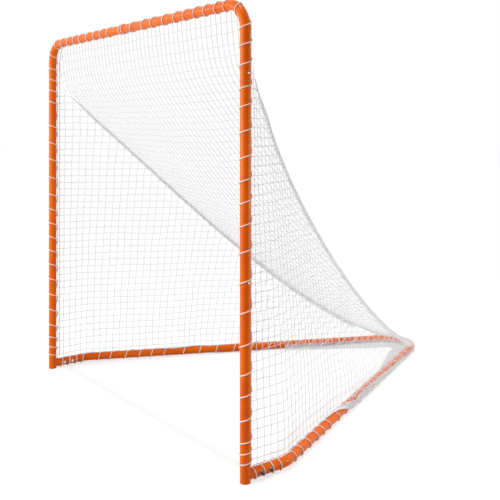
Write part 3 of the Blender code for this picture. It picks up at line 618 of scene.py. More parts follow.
def lathe(profile, sides):  # the profile runs from its low end on the axis to its high end on the axis
    bm = bmesh.new()
    rings = []
    for radius, height in profile[1:-1]:
        rings.append([bm.verts.new((radius * math.cos(2 * math.pi * s / sides),
                                    radius * math.sin(2 * math.pi * s / sides), height)) for s in range(sides)])
    bridgeRings(bm, rings)
    for ring, end in ((rings[0], profile[0]), (rings[-1], profile[-1])):
        tip = bm.verts.new((0, 0, end[1]))
        for side in range(sides):
            bm.faces.new((ring[side], ring[(side + 1) % sides], tip))
    bmesh.ops.recalc_face_normals(bm, faces=bm.faces)
    return bm


def placing(place, outward, along):
    # local +Z points out of the tube, local +X along it
    turn = Matrix((along, outward.cross(along), outward)).transposed().to_4x4()
    return Matrix.Translation(place) @ turn


def roundedTop(radius, top, rise, steps=8):
    turns = [math.pi / 2 * step / steps for step in range(steps + 1)]
    return [(radius - rise * (1 - math.cos(turn)), top - rise + rise * math.sin(turn)) for turn in turns]


def makeButton(name, place, outward, along):
    top = tubeRadius + buttonLook["proud"]
    flangeTop = buttonLook["flangeTop"]
    flangeLow = flangeTop - buttonLook["flange"]
    profile = [(0, flangeLow), (buttonLook["flangeRadius"] - 0.0002, flangeLow),
               (buttonLook["flangeRadius"], flangeLow + 0.0002), (buttonLook["flangeRadius"], flangeTop - 0.0002),
               (buttonLook["flangeRadius"] - 0.0002, flangeTop), (buttonLook["radius"], flangeTop)]
    profile += roundedTop(buttonLook["radius"], top, 0.0030)
    profile.append((0, top + 0.0001))
    bm = lathe(profile, 32)
    bm.transform(placing(place, outward, along))
    label = name.replace("_", " ").title().replace(" ", "")
    addPiece(label + "SnapButton", bm, zinc, "zinc_plate", name + "_button", name + "_button", smoothAngle=50)
    makeLeafSpring(label, name)


def makeLeafSpring(label, name):
    # one leg rests on the tube's far wall, the other one travels with the button
    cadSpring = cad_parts[name + "_leaf_spring"]
    bm = bmesh.new()
    bm.from_mesh(cadSpring.data)
    bm.transform(cadSpring.matrix_world)
    bmesh.ops.remove_doubles(bm, verts=bm.verts, dist=0.000001)
    spring = addPiece(label + "LeafSpring", bm, springSteel, "spring_steel", None, name + "_leaf_spring",
                      smoothAngle=30, shift=False)
    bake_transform(spring)


def hexRing(bm, radius, height, roundness):
    # a ring of 48 points between a hexagon (0) and a circle (1)
    ring = []
    for side in range(48):
        angle = 2 * math.pi * side / 48
        flat = math.cos(math.pi / 6) / math.cos((angle + math.pi / 6) % (math.pi / 3) - math.pi / 6)
        reach = radius * (flat * (1 - roundness) + roundness)
        ring.append(bm.verts.new((reach * math.cos(angle), reach * math.sin(angle), height)))
    return ring


def capRing(bm, ring, height):
    tip = bm.verts.new((0, 0, height))
    for side in range(len(ring)):
        bm.faces.new((ring[side], ring[(side + 1) % len(ring)], tip))


def makeBolt(name, matrix, seat, threadEnd):
    head, height = boltLook["headRadius"], boltLook["headHeight"]
    radius = boltLook["radius"]
    bm = bmesh.new()
    rings = [hexRing(bm, head * 0.55, -seat - height + 0.0004, 1), hexRing(bm, head * 0.62, -seat - height, 1),
             hexRing(bm, head * 0.84, -seat - height, 1), hexRing(bm, head * 0.97, -seat - height + 0.0007, 0.25),
             hexRing(bm, head, -seat - height + 0.0013, 0), hexRing(bm, head, -seat - 0.0003, 0),
             hexRing(bm, head * 0.96, -seat, 0), hexRing(bm, radius, -seat, 1)]
    threadStart = threadEnd - boltLook["threadLength"]
    rings.append(hexRing(bm, radius, threadStart, 1))
    steps = int((threadEnd - 0.001 - threadStart) / (boltLook["threadPitch"] / 2))
    for step in range(1, steps):
        depth = radius - (0.0005 if step % 2 else 0.00005)
        rings.append(hexRing(bm, depth, threadStart + step * boltLook["threadPitch"] / 2, 1))
    rings += [hexRing(bm, radius - 0.0008, threadEnd - 0.0004, 1)]
    bridgeRings(bm, rings)
    capRing(bm, rings[0], -seat - height + 0.0004)
    capRing(bm, rings[-1], threadEnd)
    bmesh.ops.recalc_face_normals(bm, faces=bm.faces)
    bm.transform(matrix)
    addPiece("baseBolt" + name[0], bm, zinc, "zinc_plate", "goal", "base_bolt_" + name[1], smoothAngle=30)


def makeCapNut(name, matrix, seat, threadEnd):
    head = boltLook["headRadius"]
    hexTop = seat + 0.0065
    boreTop = threadEnd + 0.0006
    dome = boreTop + 0.0020
    bm = bmesh.new()
    rings = [hexRing(bm, boltLook["washerBore"], boreTop, 1), hexRing(bm, boltLook["washerBore"], seat + 0.0003, 1),
             hexRing(bm, boltLook["washerBore"] + 0.0003, seat, 1), hexRing(bm, head * 0.93, seat, 1),
             hexRing(bm, head, seat + 0.0006, 0), hexRing(bm, head, hexTop - 0.0012, 0),
             hexRing(bm, head * 0.95, hexTop - 0.0005, 0.4), hexRing(bm, head * 0.86, hexTop, 1),
             hexRing(bm, head * 0.80, hexTop + 0.0002, 1)]
    for share in (0.0, 0.25, 0.5, 0.72, 0.88):
        angle = share * math.pi / 2
        rings.append(hexRing(bm, head * 0.78 * math.cos(angle) + 0.0001, hexTop + 0.0006 +
                             (dome - hexTop - 0.0006) * math.sin(angle), 1))
    bridgeRings(bm, rings)
    capRing(bm, rings[0], boreTop)
    capRing(bm, rings[-1], dome)
    bmesh.ops.recalc_face_normals(bm, faces=bm.faces)
    bm.transform(matrix)
    addPiece("baseCapNut" + name[0], bm, plastic, "black_plastic", "goal", "base_cap_nut_" + name[1], smoothAngle=30)


def makeWasher(name, matrix, middle):
    low, high = middle - boltLook["washer"] / 2, middle + boltLook["washer"] / 2
    outer, inner = boltLook["washerRadius"], boltLook["washerBore"]
    bm = bmesh.new()
    rings = [hexRing(bm, radius, height, 1) for radius, height in
             ((inner, low + 0.0002), (inner + 0.0002, low), (outer - 0.0003, low), (outer, low + 0.0003),
              (outer, high - 0.0003), (outer - 0.0003, high), (inner + 0.0002, high), (inner, high - 0.0002))]
    bridgeRings(bm, rings, closed=True)
    bmesh.ops.recalc_face_normals(bm, faces=bm.faces)
    bm.transform(matrix)
    addPiece("baseWasher" + name[0], bm, zinc, "zinc_plate", "goal", "base_washer_" + name[1], smoothAngle=35)


def makeFasteners():
    fromSeam = goalShape["buttonFromSeam"]
    joint = bowStart - sideBack * (goalShape["bowLeg"] + fromSeam)
    for side, sign in (("left", -1), ("right", 1)):
        outward = Vector((sign, 0, 0))
        makeButton("lower_post_" + side, Vector((sign * postX, 0, goalShape["lowerSeamZ"] + fromSeam)), outward, up)
        makeButton("post_" + side, Vector((sign * postX, 0, goalShape["upperSeamZ"] + fromSeam)), outward, up)
        makeButton("bow_" + side, Vector((sign * joint.x, joint.y, joint.z)),
                   Vector((-sign * sideOut.x, -sideOut.y, 0)), Vector((-sign * sideBack.x, -sideBack.y, 0)))
        for position, boltY in goalShape["boltY"].items():
            matrix = placing(Vector((sign * postX, boltY, baseZ)), outward, backwards)
            washerLow = tubeRadius + goalShape["fitGap"]
            seat = washerLow + boltLook["washer"] + goalShape["fitGap"]
            label = (side.title() + position.title(), side + "_" + position)
            makeBolt(label, matrix, seat, seat + boltLook["threadPast"])
            makeCapNut(label, matrix, seat, seat + boltLook["threadPast"])
            for face, flip in (("outer", 1), ("inner", -1)):
                makeWasher((label[0] + face.title(), label[1] + "_" + face), matrix,
                           flip * (washerLow + boltLook["washer"] / 2))
    makeButton("crossbar", Vector((goalShape["barSeamX"] - fromSeam, 0, barZ)), up, sideways)


makeFasteners()
for cadName in ("base_spigot_left", "base_spigot_right"):
    for slotIndex in range(len(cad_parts[cadName].material_slots)):
        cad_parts[cadName].material_slots[slotIndex].material = tubeZinc
print("buttons, bolts, nuts and washers are made")

# ---- Geometry Nodes: twine with knots, and round cord


def newGrowth(name, *sockets):
    tree = bpy.data.node_groups.new(name, "GeometryNodeTree")
    for label, kind, value in (("Geometry", "Geometry", None), *sockets):
        made = tree.interface.new_socket(name=label, in_out="INPUT", socket_type="NodeSocket" + kind)
        if value is not None:
            made.default_value = value
    tree.interface.new_socket(name="Geometry", in_out="OUTPUT", socket_type="NodeSocketGeometry")
    return tree, node(tree, "NodeGroupInput").outputs


def twineTree():
    # edges become twine, points marked as knots get a small knot
    tree, given = newGrowth("knottedTwine", ("Twine radius", "Float", 0.0011), ("Twine sides", "Int", 4),
                            ("Knot radius", "Float", 0.002), ("Knot seed", "Int", 3),
                            ("Twine finish", "Material", None))
    curve = node(tree, "GeometryNodeMeshToCurve", {"Mesh": given[0]})
    profile = node(tree, "GeometryNodeCurvePrimitiveCircle", {"Radius": given[1], "Resolution": given[2]})
    swept = node(tree, "GeometryNodeCurveToMesh", {"Curve": curve, "Profile Curve": profile, "Fill Caps": True})
    knot = node(tree, "GeometryNodeMeshIcoSphere", {"Subdivisions": 1, "Radius": given[3]})
    marked = node(tree, "GeometryNodeInputNamedAttribute", {"Name": "knot"}, data_type="BOOLEAN")
    turn = node(tree, "FunctionNodeRandomValue", {1: (6.2, 6.2, 6.2), "Seed": given[4]}, data_type="FLOAT_VECTOR")
    size = node(tree, "FunctionNodeRandomValue", {0: (0.85, 0.85, 0.75), 1: (1.25, 1.25, 1.05), "Seed": given[4]},
                data_type="FLOAT_VECTOR")
    knots = node(tree, "GeometryNodeInstanceOnPoints", {"Points": given[0], "Selection": marked, "Instance": knot,
                                                        "Rotation": turn, "Scale": size})
    real = node(tree, "GeometryNodeRealizeInstances", {0: knots})
    both = node(tree, "GeometryNodeJoinGeometry", {0: [real, swept]})
    smooth = node(tree, "GeometryNodeSetShadeSmooth", {0: both})
    painted = node(tree, "GeometryNodeSetMaterial", {"Geometry": smooth, "Material": given[5]})
    node(tree, "NodeGroupOutput", {0: painted})
    return tree


def cordTree():
    # a chain of edges becomes one round cord that carries where along and where round it each point is
    tree, given = newGrowth("roundCord", ("Cord radius", "Float", 0.00225), ("Cord sides", "Int", 10),
                            ("Point spacing", "Float", 0.004), ("Cord finish", "Material", None))
    curve = node(tree, "GeometryNodeMeshToCurve", {"Mesh": given[0]})
    bent = node(tree, "GeometryNodeCurveSplineType", {"Curve": curve}, spline_type="CATMULL_ROM")
    even = node(tree, "GeometryNodeResampleCurve", {"Curve": bent, "Length": given[3]}, mode="LENGTH")
    length = node(tree, "GeometryNodeSplineParameter").outputs["Length"]
    along = node(tree, "GeometryNodeStoreNamedAttribute", {"Name": "cordAlong", "Geometry": even, "Value": length},
                 data_type="FLOAT", domain="POINT")
    profile = node(tree, "GeometryNodeCurvePrimitiveCircle", {"Radius": given[1], "Resolution": given[2]})
    place = node(tree, "GeometryNodeInputPosition")
    around = node(tree, "GeometryNodeStoreNamedAttribute", {"Name": "cordRound", "Geometry": profile, "Value": place},
                  data_type="FLOAT_VECTOR", domain="POINT")
    swept = node(tree, "GeometryNodeCurveToMesh", {"Curve": along, "Profile Curve": around, "Fill Caps": True})
    smooth = node(tree, "GeometryNodeSetShadeSmooth", {0: swept})
    real = node(tree, "GeometryNodeRealizeInstances", {0: smooth})
    painted = node(tree, "GeometryNodeSetMaterial", {"Geometry": real, "Material": given[4]})
    node(tree, "NodeGroupOutput", {0: painted})
    return tree


knottedTwine = twineTree()
roundCord = cordTree()


def grown(name, points, edges, knots, tree, values):
    # runs a tree on a frame of points and edges and returns the finished plain mesh as an object
    mesh = bpy.data.meshes.new(name + "Lines")
    mesh.from_pydata([tuple(point + toScene) for point in points], edges, [])
    if knots is not None:
        flags = mesh.attributes.new("knot", "BOOLEAN", "POINT")
        flags.data.foreach_set("value", [index in knots for index in range(len(points))])
    lines = linked(name + "Lines", mesh)
    growth = lines.modifiers.new("growth", "NODES")
    growth.node_group = tree
    for item in tree.interface.items_tree:
        if item.item_type == "SOCKET" and item.in_out == "INPUT" and item.name in values:
            growth[item.identifier] = values[item.name]
    finished = bpy.data.meshes.new_from_object(lines.evaluated_get(bpy.context.evaluated_depsgraph_get()))
    finished.name = name
    bpy.data.objects.remove(lines)
    print(name, "has", sum(len(polygon.vertices) - 2 for polygon in finished.polygons), "triangles")
    return linked(name, finished)


def growTwine(name, lines, look, knotSeed, finish, *cadNodes, slot="white_net_twine"):
    values = {"Twine radius": look["twineRadius"], "Twine sides": look["twineSides"],
              "Knot radius": look["knotRadius"], "Knot seed": knotSeed, "Twine finish": finish}
    piece = grown(name, lines.points, lines.edges, lines.knots, knottedTwine, values)
    tieDown(piece, slot, "goal", *cadNodes)


def growCord(name, points, look, finish, slot, *cadNodes):
    values = {"Cord radius": look["radius"], "Cord sides": look["sides"], "Point spacing": look["spacing"],
              "Cord finish": finish}
    edges = [(index, index + 1) for index in range(len(points) - 1)]
    tieDown(grown(name, points, edges, None, roundCord, values), slot, "goal", *cadNodes)


# ---- Net panels

looseness = {"seed": 11, "drift": 0.0050, "jitter": 0.0016, "droop": 0.0030, "driftScale": 5.0}
noise.seed_set(looseness["seed"])  # noise_vector takes its offsets from the clock until it has a seed


class NetLines:
    # a growing frame of points and edges; knots are shared by the strands that meet there

    def __init__(self, seed):
        self.points = []
        self.edges = []
        self.knots = set()
        self.random = random.Random(seed)

    def add(self, point, isKnot=False):
        self.points.append(point)
        if isKnot:
            self.knots.add(len(self.points) - 1)
        return len(self.points) - 1

    def strand(self, first, last, droop, normal):
        # one side of a mesh, slack between its two knots
        a, b = self.points[first], self.points[last]
        chain = [first]
        length = (b - a).length
        steps = 3 if length > 0.02 else 2
        push = self.random.uniform(-1, 1) * droop * 0.8
        for step in range(1, steps):
            share = step / steps
            hang = 4 * share * (1 - share)
            middle = a + (b - a) * share
            flat = 1 - abs((b - a).normalized().z)
            middle = middle + normal * (push * hang) - up * (droop * flat * hang * self.random.uniform(0.3, 1.2))
            chain.append(self.add(middle))
        chain.append(last)
        self.edges += list(zip(chain, chain[1:]))


def drifted(random_, u, v):
    # a slow wander of the whole net plus a little for each knot
    reach, quick, scale = looseness["drift"], looseness["jitter"], looseness["driftScale"]
    slow = noise.noise_vector(Vector((u * scale, v * scale, random_.seedShift)))
    return (slow.x * reach + random_.uniform(-quick, quick), slow.y * reach + random_.uniform(-quick, quick),
            slow.z * reach)


class SeededRandom(random.Random):
    def __init__(self, seed):
        super().__init__(seed)
        self.seedShift = seed * 3.7


def makeSideNet(side, sign):
    lines = NetLines(looseness["seed"] + sign)
    wander = SeededRandom(21 + sign)
    pitch, step = netShape["mesh"], netShape["sideStep"]
    columnCount = int((netShape["rearY"] + 0.10 - hangY) / step)
    grid = {}

    def onSurface(y, z, push=0.0):
        return Vector((sign * (sideX(y, z) + push), y, z))

    for column in range(columnCount + 1):
        y = hangY + column * step
        top = ridgeZ(y) - 0.004
        bottom = edgeZ(y)
        firstRow = math.ceil((bottom + 0.012) / pitch)
        previous = lines.add(onSurface(y, bottom))
        row = firstRow
        while row * pitch < top - 0.010:
            dy, dz, push = drifted(wander, y, row * pitch)
            edge = min(1, (top - row * pitch) / 0.05, (row * pitch - bottom) / 0.03)
            if column == 0:
                dy = 0
            current = lines.add(onSurface(y + dy * edge, row * pitch + dz * edge, push * edge), True)
            grid[column, row] = current
            lines.strand(previous, current, looseness["droop"], Vector((sign, 0, 0)))
            previous = current
            row += 1
        lines.strand(previous, lines.add(onSurface(y, top)), looseness["droop"] / 2, Vector((sign, 0, 0)))
    for (column, row), here in grid.items():
        beside = grid.get((column + 1, row))
        if beside is not None:
            lines.strand(here, beside, looseness["droop"], Vector((sign, 0, 0)))
            continue
        y = hangY + column * step
        z = row * pitch
        while ridgeZ(y) - 0.004 > z and y < hangY + (column + 1) * step:
            y += 0.001
        if y < hangY + (column + 1) * step:
            lines.strand(here, lines.add(onSurface(y, z)), 0.001, Vector((sign, 0, 0)))
    growTwine("netSide" + side.title(), lines, netShape, 5 + sign, twine, "net_side_" + side)


def backRows():
    rows = [hangY]
    y, run, small = hangY, 0.0, 0.002
    while y < netShape["rearY"] - 0.02:
        run += small * math.hypot(1, slopeOf(lambda depth: backZ(0, depth), y + small / 2))
        y += small
        if run >= netShape["mesh"]:
            rows.append(y)
            run = 0.0
    return rows + [netShape["rearY"]]


def makeBackNet():
    lines = NetLines(looseness["seed"] + 7)
    wander = SeededRandom(33)
    rows = backRows()
    pitch = netShape["mesh"]
    grid = {}

    def onSurface(x, y, push=0.0):
        return Vector((x, y, backZ(x, y) + push))

    for rowIndex, y in enumerate(rows):
        half = ridgeX(y) - 0.004
        reach = int((half - 0.010) / pitch)
        for column in range(-reach, reach + 1):
            x = column * pitch
            edge = min(1, (half - abs(x)) / 0.05)
            dx, dy, push = drifted(wander, x, y)
            hold = 0.0 if rowIndex == 0 else edge
            dy /= math.hypot(1, (backZ(x, y + 0.001) - backZ(x, y)) / 0.001)  # the drop at the crossbar is steep
            grid[column, rowIndex] = lines.add(onSurface(x + dx * edge, y + dy * hold * 0.7, push * hold), True)
        for sign in (-1, 1):
            lines.strand(grid[sign * reach, rowIndex], lines.add(onSurface(sign * half, y)), 0.001, up)
    for (column, rowIndex), here in grid.items():
        beside = grid.get((column + 1, rowIndex))
        if beside is not None:
            lines.strand(here, beside, looseness["droop"], up)
        below = grid.get((column, rowIndex + 1))
        if below is not None:
            lines.strand(here, below, looseness["droop"], up)
        elif rowIndex + 1 < len(rows):
            y = rows[rowIndex]
            while ridgeX(y) - 0.004 > abs(column * pitch) and y < rows[rowIndex + 1]:
                y += 0.001
            if y > rows[rowIndex] + 0.003:
                lines.strand(here, lines.add(onSurface(column * pitch, y)), 0.001, up)
    growTwine("netBack", lines, netShape, 9, twine, "net_back")


makeSideNet("left", -1)
makeSideNet("right", 1)
makeBackNet()
print("net panels are made")

# ---- Ridge seams and the gather at the apex

seamLook = {"width": {"left": 0.017, "right": 0.054}, "rearWidth": {"left": 0.028, "right": 0.060},
            "shift": {"left": -0.33, "right": -0.12}, "twines": 6, "wander": 0.0016, "step": 0.020, "lap": 0.016,
            "from": 0.07, "fullFrom": 0.16, "rearEnd": {"left": 1.70, "right": 1.828},
            "twineRadius": 0.0012, "twineSides": 4, "knotRadius": 0.0018}


def ridgePoint(sign, y, offset, proud=0.0):
    # offset runs over the ridge: below zero down the side panel, above zero in over the back panel
    if offset < 0:
        z = ridgeZ(y) + offset
        return Vector((sign * (sideX(y, z) + proud), y, z + proud * 0.5))
    x = ridgeX(y) - offset
    return Vector((sign * x, y, backZ(x, y) + proud))


def seamOffset(side, y, share):  # share runs from -0.5, down the side panel, to 0.5, over on the back panel
    front, rear = seamLook["width"][side], seamLook["rearWidth"][side]
    width = front + (rear - front) * clamp((y - 1.0) / 0.7)
    return max(width * (seamLook["shift"][side] + share), -0.8 * (ridgeZ(y) - edgeZ(y)))


def makeRidge(side, sign):
    lines = NetLines(41 + sign)
    randomly = random.Random(51 + sign)
    count = seamLook["twines"]
    end = seamLook["rearEnd"][side]
    for index in range(count):  # the outer twines join in behind the corner
        place = index / (count - 1) - 0.5
        y = seamLook["from"] + 2 * abs(place) * (seamLook["fullFrom"] - seamLook["from"])
        previous = None
        while y < end:
            wave = randomly.uniform(-1, 1) * seamLook["wander"]
            current = lines.add(ridgePoint(sign, y, seamOffset(side, y, place) + wave, 0.0012 + randomly.uniform(0, 0.001)))
            if previous is not None:
                lines.edges.append((previous, current))
            previous = current
            y += seamLook["step"] * (0.3 if y < 0.15 else 1)
    for family in (-1, 1):  # the lapped meshes cross the seam both ways
        y = seamLook["fullFrom"]
        while y < end:
            chain = []
            for stepIndex in range(4):
                offset = seamOffset(side, y, family * (stepIndex / 3 - 0.5))
                there = y + seamLook["lap"] * (stepIndex / 3 - 0.5) + randomly.uniform(-0.001, 0.001)
                chain.append(lines.add(ridgePoint(sign, there, offset, 0.0022), stepIndex in (0, 3)))
            lines.edges += list(zip(chain, chain[1:]))
            y += seamLook["lap"]
    growTwine("ridgeSeam" + side.title(), lines, seamLook, 2, seamTwine, "ridge_cord_" + side, slot="grey_seam_cord")


makeRidge("left", -1)
makeRidge("right", 1)
print("ridge seams are made")

gatherLook = {"columns": 15, "spread": 1.25, "clearance": 0.0024, "rows": 9,
              "twineRadius": 0.0010, "twineSides": 5, "knotRadius": 0.0014}


def makeGather():
    lines = NetLines(61)
    columns, rows = gatherLook["columns"], gatherLook["rows"]
    half = ridgeX(netShape["rearY"]) - 0.006
    reach = tubeRadius + gatherLook["clearance"]
    grid = {}
    for column in range(columns):
        across = 2 * column / (columns - 1) - 1
        radial = Vector((math.sin(across * gatherLook["spread"]), math.cos(across * gatherLook["spread"]), 0))
        start = Vector((across * half, netShape["rearY"] + 0.004, backZ(across * half, netShape["rearY"]) + 0.002))
        turns = [math.radians(100 - 105 * step / (rows - 4)) for step in range(rows - 3)]
        onBow = [bowCentre + radial * (bowRadius + reach * math.cos(turn)) + up * (reach * math.sin(turn))
                 for turn in turns]
        chain = [start, start.lerp(onBow[0], 0.35), start.lerp(onBow[0], 0.7)] + onBow
        for row, point in enumerate(chain):
            ripple = 0.0012 * math.sin(column * 2.4 + row * 1.3)
            grid[column, row] = lines.add(point + radial * ripple + up * abs(ripple), row % 2 == 0)
    for (column, row), here in grid.items():
        for beside in (grid.get((column + 1, row)), grid.get((column, row + 1))):
            if beside is not None:
                lines.edges.append((here, beside))
    growTwine("netApexGather", lines, gatherLook, 4, brightenedHemTwine, "net_apex_gather")


makeGather()
print("apex gather is made")

# ---- Border ropes, and the net's edge wound over the tubes at the back

ropeLook = {"radius": 0.0017, "sides": 7, "spacing": 0.010, "step": 0.011, "frontFoot": 0.060,
            "frontY": {"right": tubeRadius + 0.0060, "bar": tubeRadius + 0.0075, "left": 0.0400},
            "scallop": 0.0026, "scallopLength": 0.088, "jitter": 0.0004}
wrapLook = {"from": 0.84, "reach": 0.0018, "spacing": 0.0350, "slant": 0.050, "seed": 71,
            "twineRadius": 0.0013, "twineSides": 4, "knotRadius": 0.0018}
hemLook = {"from": 0.56, "full": 0.84, "twines": 13, "spread": 38, "low": -80, "high": 42, "reach": 0.0040, "seed": 80,
           "twineRadius": 0.0019, "twineSides": 5, "knotRadius": 0.0018}
skirtLook = {"from": 1.28, "width": 0.022, "rearWidth": 0.085, "rows": 7, "spacing": 0.009, "jitter": 0.003,
             "lift": 0.0022, "seed": 83, "twineRadius": 0.0012, "twineSides": 4, "knotRadius": 0.0016}


def baseStation(sign, along):
    # a place on a base tube by its y, and past the bow's start by the arc's length: (centre, outward)
    if along <= bowStart.y:
        slope = slopeOf(baseX, along)
        outward = Vector((1, -slope, 0)).normalized()
        centre = Vector((baseX(along), along, baseZ))
    else:
        turn = min(sideAngle + (along - bowStart.y) / bowRadius, math.pi / 2)
        outward = Vector((math.cos(turn), math.sin(turn), 0))
        centre = bowCentre + outward * bowRadius
    return Vector((sign * centre.x, centre.y, centre.z)), Vector((sign * outward.x, outward.y, 0))


apexAlong = bowStart.y + bowRadius * (math.pi / 2 - sideAngle)


def onBase(sign, along, degrees, reach):
    centre, outward = baseStation(sign, along)
    turn = math.radians(degrees)
    return centre + outward * (reach * math.cos(turn)) + up * (reach * math.sin(turn))


def chainOf(lines, points):
    placed = [lines.add(point) for point in points]
    lines.edges += list(zip(placed, placed[1:]))


cornerStart = barZ - cornerRadius


def makeRopes():
    randomly = random.Random(67)
    step = ropeLook["step"]

    def scallopAt(run):
        return ropeLook["scallop"] * abs(math.sin(math.pi * run / ropeLook["scallopLength"]))

    # up one post, round the corner, along the crossbar and down the other side
    half = [Vector((postX, 0, ropeLook["frontFoot"] + (cornerStart - ropeLook["frontFoot"]) * share / 140))
            for share in range(141)]
    corner = Vector((postX - cornerRadius, 0, cornerStart))
    half += arcPoints(corner, cornerRadius, 0, math.pi / 2, 14, sideways, up)[1:]
    inner = postX - cornerRadius
    half += [Vector((inner - inner * share / 75, 0, barZ)) for share in range(1, 76)]
    whole = half + [Vector((-point.x, 0, point.z)) for point in half[-2::-1]]
    points = []
    for index, point in enumerate(whole):
        slack = ropeLook["frontY"]
        toLeft = clamp((0.5 - point.x / inner) * 2 - 1)
        toRight = clamp((0.5 + point.x / inner) * 2 - 1)
        rest = slack["bar"] + (slack["left"] - slack["bar"]) * toLeft + (slack["right"] - slack["bar"]) * toRight
        hang = scallopAt(index * step) * (1 - 0.8 * toRight)
        rest += hang + randomly.uniform(-ropeLook["jitter"], ropeLook["jitter"])
        points.append(point + backwards * rest)
    growCord("frontBorderRope", points, ropeLook, twine, "white_net_twine")

    # along one base tube, round the apex and back along the other
    points = []
    for sign in (1, -1):
        along, run, side = hangY + 0.006, 0.0, []
        while along < apexAlong:
            turn = math.degrees(edgeTurn(min(along, bowStart.y)))
            hang = scallopAt(run) * (1.5 if along > 0.9 else 0.6)
            side.append(onBase(sign, along, turn, edgeOffset - 0.0006 + hang))
            along += step
            run += step
        points += side if sign > 0 else side[::-1]
    growCord("baseBorderRope", points, ropeLook, twine, "white_net_twine")


def makeWrap(side, sign):
    # both slanting families of the net's twine lie on the tube, and the hem's long twines run outside and below
    lines = NetLines(wrapLook["seed"] + sign)
    randomly = random.Random(wrapLook["seed"] + 5 + sign)
    reach = tubeRadius + wrapLook["reach"]
    along = wrapLook["from"]
    while along < apexAlong + 0.02:
        for lean in (-1, 1):
            settled = clamp((along - wrapLook["from"]) / 0.5)
            high = 118 + 50 * settled if sign > 0 else 120 + 65 * clamp((along - 1.0) / 0.5)
            low = -66 - 18 * settled
            start = along + randomly.uniform(-0.003, 0.003)
            chain = []
            for stepIndex in range(13):
                share = stepIndex / 12
                there = start + lean * wrapLook["slant"] * (share - 0.5)
                ripple = randomly.uniform(-0.0004, 0.0007)
                if wrapLook["from"] - 0.01 < there < apexAlong:
                    chain.append(onBase(sign, there, high + (low - high) * share, reach + ripple))
            if len(chain) > 2:
                chainOf(lines, chain)
        along += wrapLook["spacing"]
    growTwine("netEdgeWrap" + side.title(), lines, wrapLook, 6, brightenedHemTwine)


def makeHem(side, sign):
    # the folded edge of the side panel: it crosses the tube near the knee and lies outside and below it behind
    lines = NetLines(hemLook["seed"] + sign)
    randomly = random.Random(hemLook["seed"] + 3 + sign)
    count = hemLook["twines"]
    for index in range(count):
        place = 2 * index / (count - 1) - 1
        chain = []
        along = hemLook["from"] + 0.10 * abs(place)
        while along < apexAlong:
            share = clamp((along - hemLook["from"]) / (hemLook["full"] - hemLook["from"]))
            middle = math.degrees(edgeTurn(min(along, bowStart.y)))
            swing = 3 * math.sin(along * 31 + index * 1.7) + randomly.uniform(-1.5, 1.5)
            low, high = hemLook["low"], hemLook["high"] - 50 * clamp((along - 1.15) / 0.55)
            settled = low + (high - low) * (place + 1) / 2
            crossing = middle + place * hemLook["spread"]
            behind = clamp((along - hemLook["full"]) / 0.10)
            degrees = middle + (crossing + (settled - crossing) * behind - middle) * share + swing
            reach = tubeRadius + hemLook["reach"] + randomly.uniform(-0.0004, 0.0008)
            chain.append(onBase(sign, along, degrees, reach))
            along += 0.014
        chainOf(lines, chain)
    growTwine("netHem" + side.title(), lines, hemLook, 6, brightenedHemTwine)


def makeSkirt(side, sign):
    # the bunched edge of the net that lies on the ground just inside the back of the base
    lines = NetLines(skirtLook["seed"] + sign)
    randomly = random.Random(skirtLook["seed"] + 3 + sign)
    rows = skirtLook["rows"]
    grid = {}
    column = 0
    along = skirtLook["from"]
    while along < apexAlong:
        width = skirtLook["width"] * (0.35 + 0.65 * clamp((along - skirtLook["from"]) / 0.2))
        width += (skirtLook["rearWidth"] - skirtLook["width"]) * clamp((along - 1.36) / 0.40)
        for row in range(rows + 1):
            share = row / rows
            centre, outward = baseStation(sign, along + randomly.uniform(-skirtLook["jitter"], skirtLook["jitter"]))
            inward = tubeRadius + 0.0015 + width * share
            height = (baseZ - 0.002) * (1 - share) ** 1.6 + skirtLook["lift"]
            height += randomly.uniform(0, skirtLook["lift"])
            grid[column, row] = lines.add(Vector((centre.x, centre.y, 0)) - outward * inward + up * height)
        column += 1
        along += skirtLook["spacing"]
    for (column, row), here in grid.items():
        for beside in (grid.get((column + 1, row)), grid.get((column + (row % 2), row + 1))):
            if beside is not None:
                lines.edges.append((here, beside))
    growTwine("netGroundEdge" + side.title(), lines, skirtLook, 8, seamTwine)


makeRopes()
for side, sign in (("left", -1), ("right", 1)):
    makeWrap(side, sign)
    makeHem(side, sign)
    makeSkirt(side, sign)
print("border ropes and wound edges are made")

# ---- Lacing

lacingLook = {"radius": 0.0022, "sides": 10, "spacing": 0.004, "reach": 0.0233, "loopReach": 0.0264,
              "frontRise": 0.045, "barRise": 0.044, "wound": 320}
postTurns = {
    "right": (0.073, 0.113, 0.155, 0.238, 0.330, 0.413, 0.525, 0.651, 0.768, 0.883, 0.985, 1.073, 1.157, 1.246,
              1.346, 1.444, 1.515, 1.604, 1.680, 1.748, 1.835),
    "left": (0.086, 0.131, 0.187, 0.258, 0.345, 0.432, 0.520, 0.604, 0.682, 0.760, 0.839, 0.919, 1.003, 1.10,
             1.203, 1.297, 1.394, 1.53, 1.596, 1.657, 1.72, 1.8025, 1.888),
}
barTurns = (-0.773, -0.687, -0.608, -0.532, -0.446, -0.361, -0.281, -0.203, -0.079, -0.054, 0.04, 0.152, 0.235,
            0.34, 0.436, 0.517, 0.598, 0.673, 0.753, 0.818)
baseTurns = (0.042, 0.085, 0.128, 0.168, 0.259, 0.318, 0.396, 0.470, 0.533, 0.600, 0.705, 0.80, 0.90, 1.00,
             1.10, 1.20, 1.30, 1.40, 1.50, 1.60, 1.69)


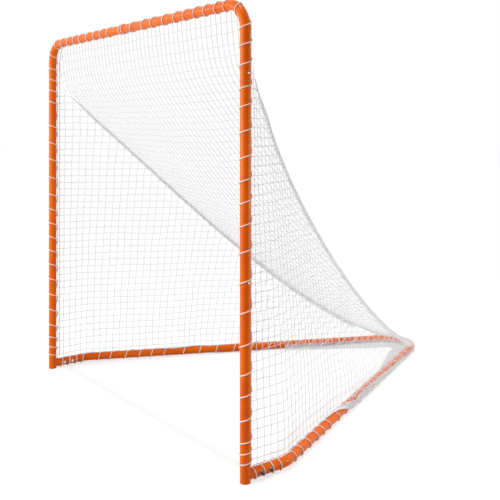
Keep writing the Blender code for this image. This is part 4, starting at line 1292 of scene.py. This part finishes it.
def windCord(name, turns, frameAt, hand, cadNode, rise):
    # each turn crosses the front of the tube at its own place and goes through the net behind
    points = []
    reach, loop = lacingLook["reach"], lacingLook["loopReach"]
    gaps = [after - before for before, after in zip(turns, turns[1:])]
    gaps = gaps[:1] + gaps + gaps[-1:]
    slants = [min(rise, 0.6 * min(before, after)) for before, after in zip(gaps, gaps[1:])]
    for index, (place, slant) in enumerate(zip(turns, slants)):
        for degrees in range(20, 341, 20):
            along = place + slant * (degrees - 180) / lacingLook["wound"]
            lift = max(0, 1 - (degrees - 20) / 20, 1 - (340 - degrees) / 20)
            far = reach + (loop - reach) * lift * 0.8
            points.append(windPoint(frameAt, along, degrees, far, hand))
        if index + 1 < len(turns):
            start = place + slant / 2
            end = turns[index + 1] - slants[index + 1] / 2
            for share, degrees in ((0.3, 350), (0.7, 370)):
                points.append(windPoint(frameAt, start + (end - start) * share, degrees, loop, hand))
    growCord(name, points, lacingLook, cordMaterial, "cream_lacing_cord", cadNode)


def windPoint(frameAt, along, degrees, reach, hand):
    centre, towardNet, across = frameAt(along)
    angle = math.radians(degrees) * hand
    return centre + towardNet * (reach * math.cos(angle)) + across * (reach * math.sin(angle))


def makeLacing():
    for side, sign in (("left", -1), ("right", 1)):
        def postFrame(along, sign=sign):  # up the post, then round the corner
            outward = Vector((sign, 0, 0))
            if along <= cornerStart:
                return Vector((sign * postX, 0, along)), backwards, outward
            turn = min((along - cornerStart) / cornerRadius, math.pi / 2)
            radial = outward * math.cos(turn) + up * math.sin(turn)
            middle = Vector((sign * (postX - cornerRadius), 0, cornerStart))
            return middle + radial * cornerRadius, backwards, radial

        def baseFrame(y, sign=sign):
            centre = Vector((sign * baseX(y), y, baseZ))
            tangent = Vector((sign * slopeOf(baseX, y), 1, 0)).normalized()
            outward = Vector((tangent.y, -tangent.x, 0)) * sign
            turn = edgeTurn(y)
            towardNet = outward * math.cos(turn) + up * math.sin(turn)
            return centre, towardNet, outward * math.sin(turn) - up * math.cos(turn)

        windCord("lacingPost" + side.title(), postTurns[side], postFrame, -1, "lacing_post_" + side,
                 lacingLook["frontRise"])
        windCord("lacingBase" + side.title(), baseTurns, baseFrame, 1, "lacing_base_" + side,
                 lacingLook["frontRise"])

    def barFrame(x):
        return Vector((x, 0, barZ)), backwards, up
    windCord("lacingCrossbar", barTurns, barFrame, -1, "lacing_crossbar", lacingLook["barRise"])


makeLacing()
print("lacing is made")
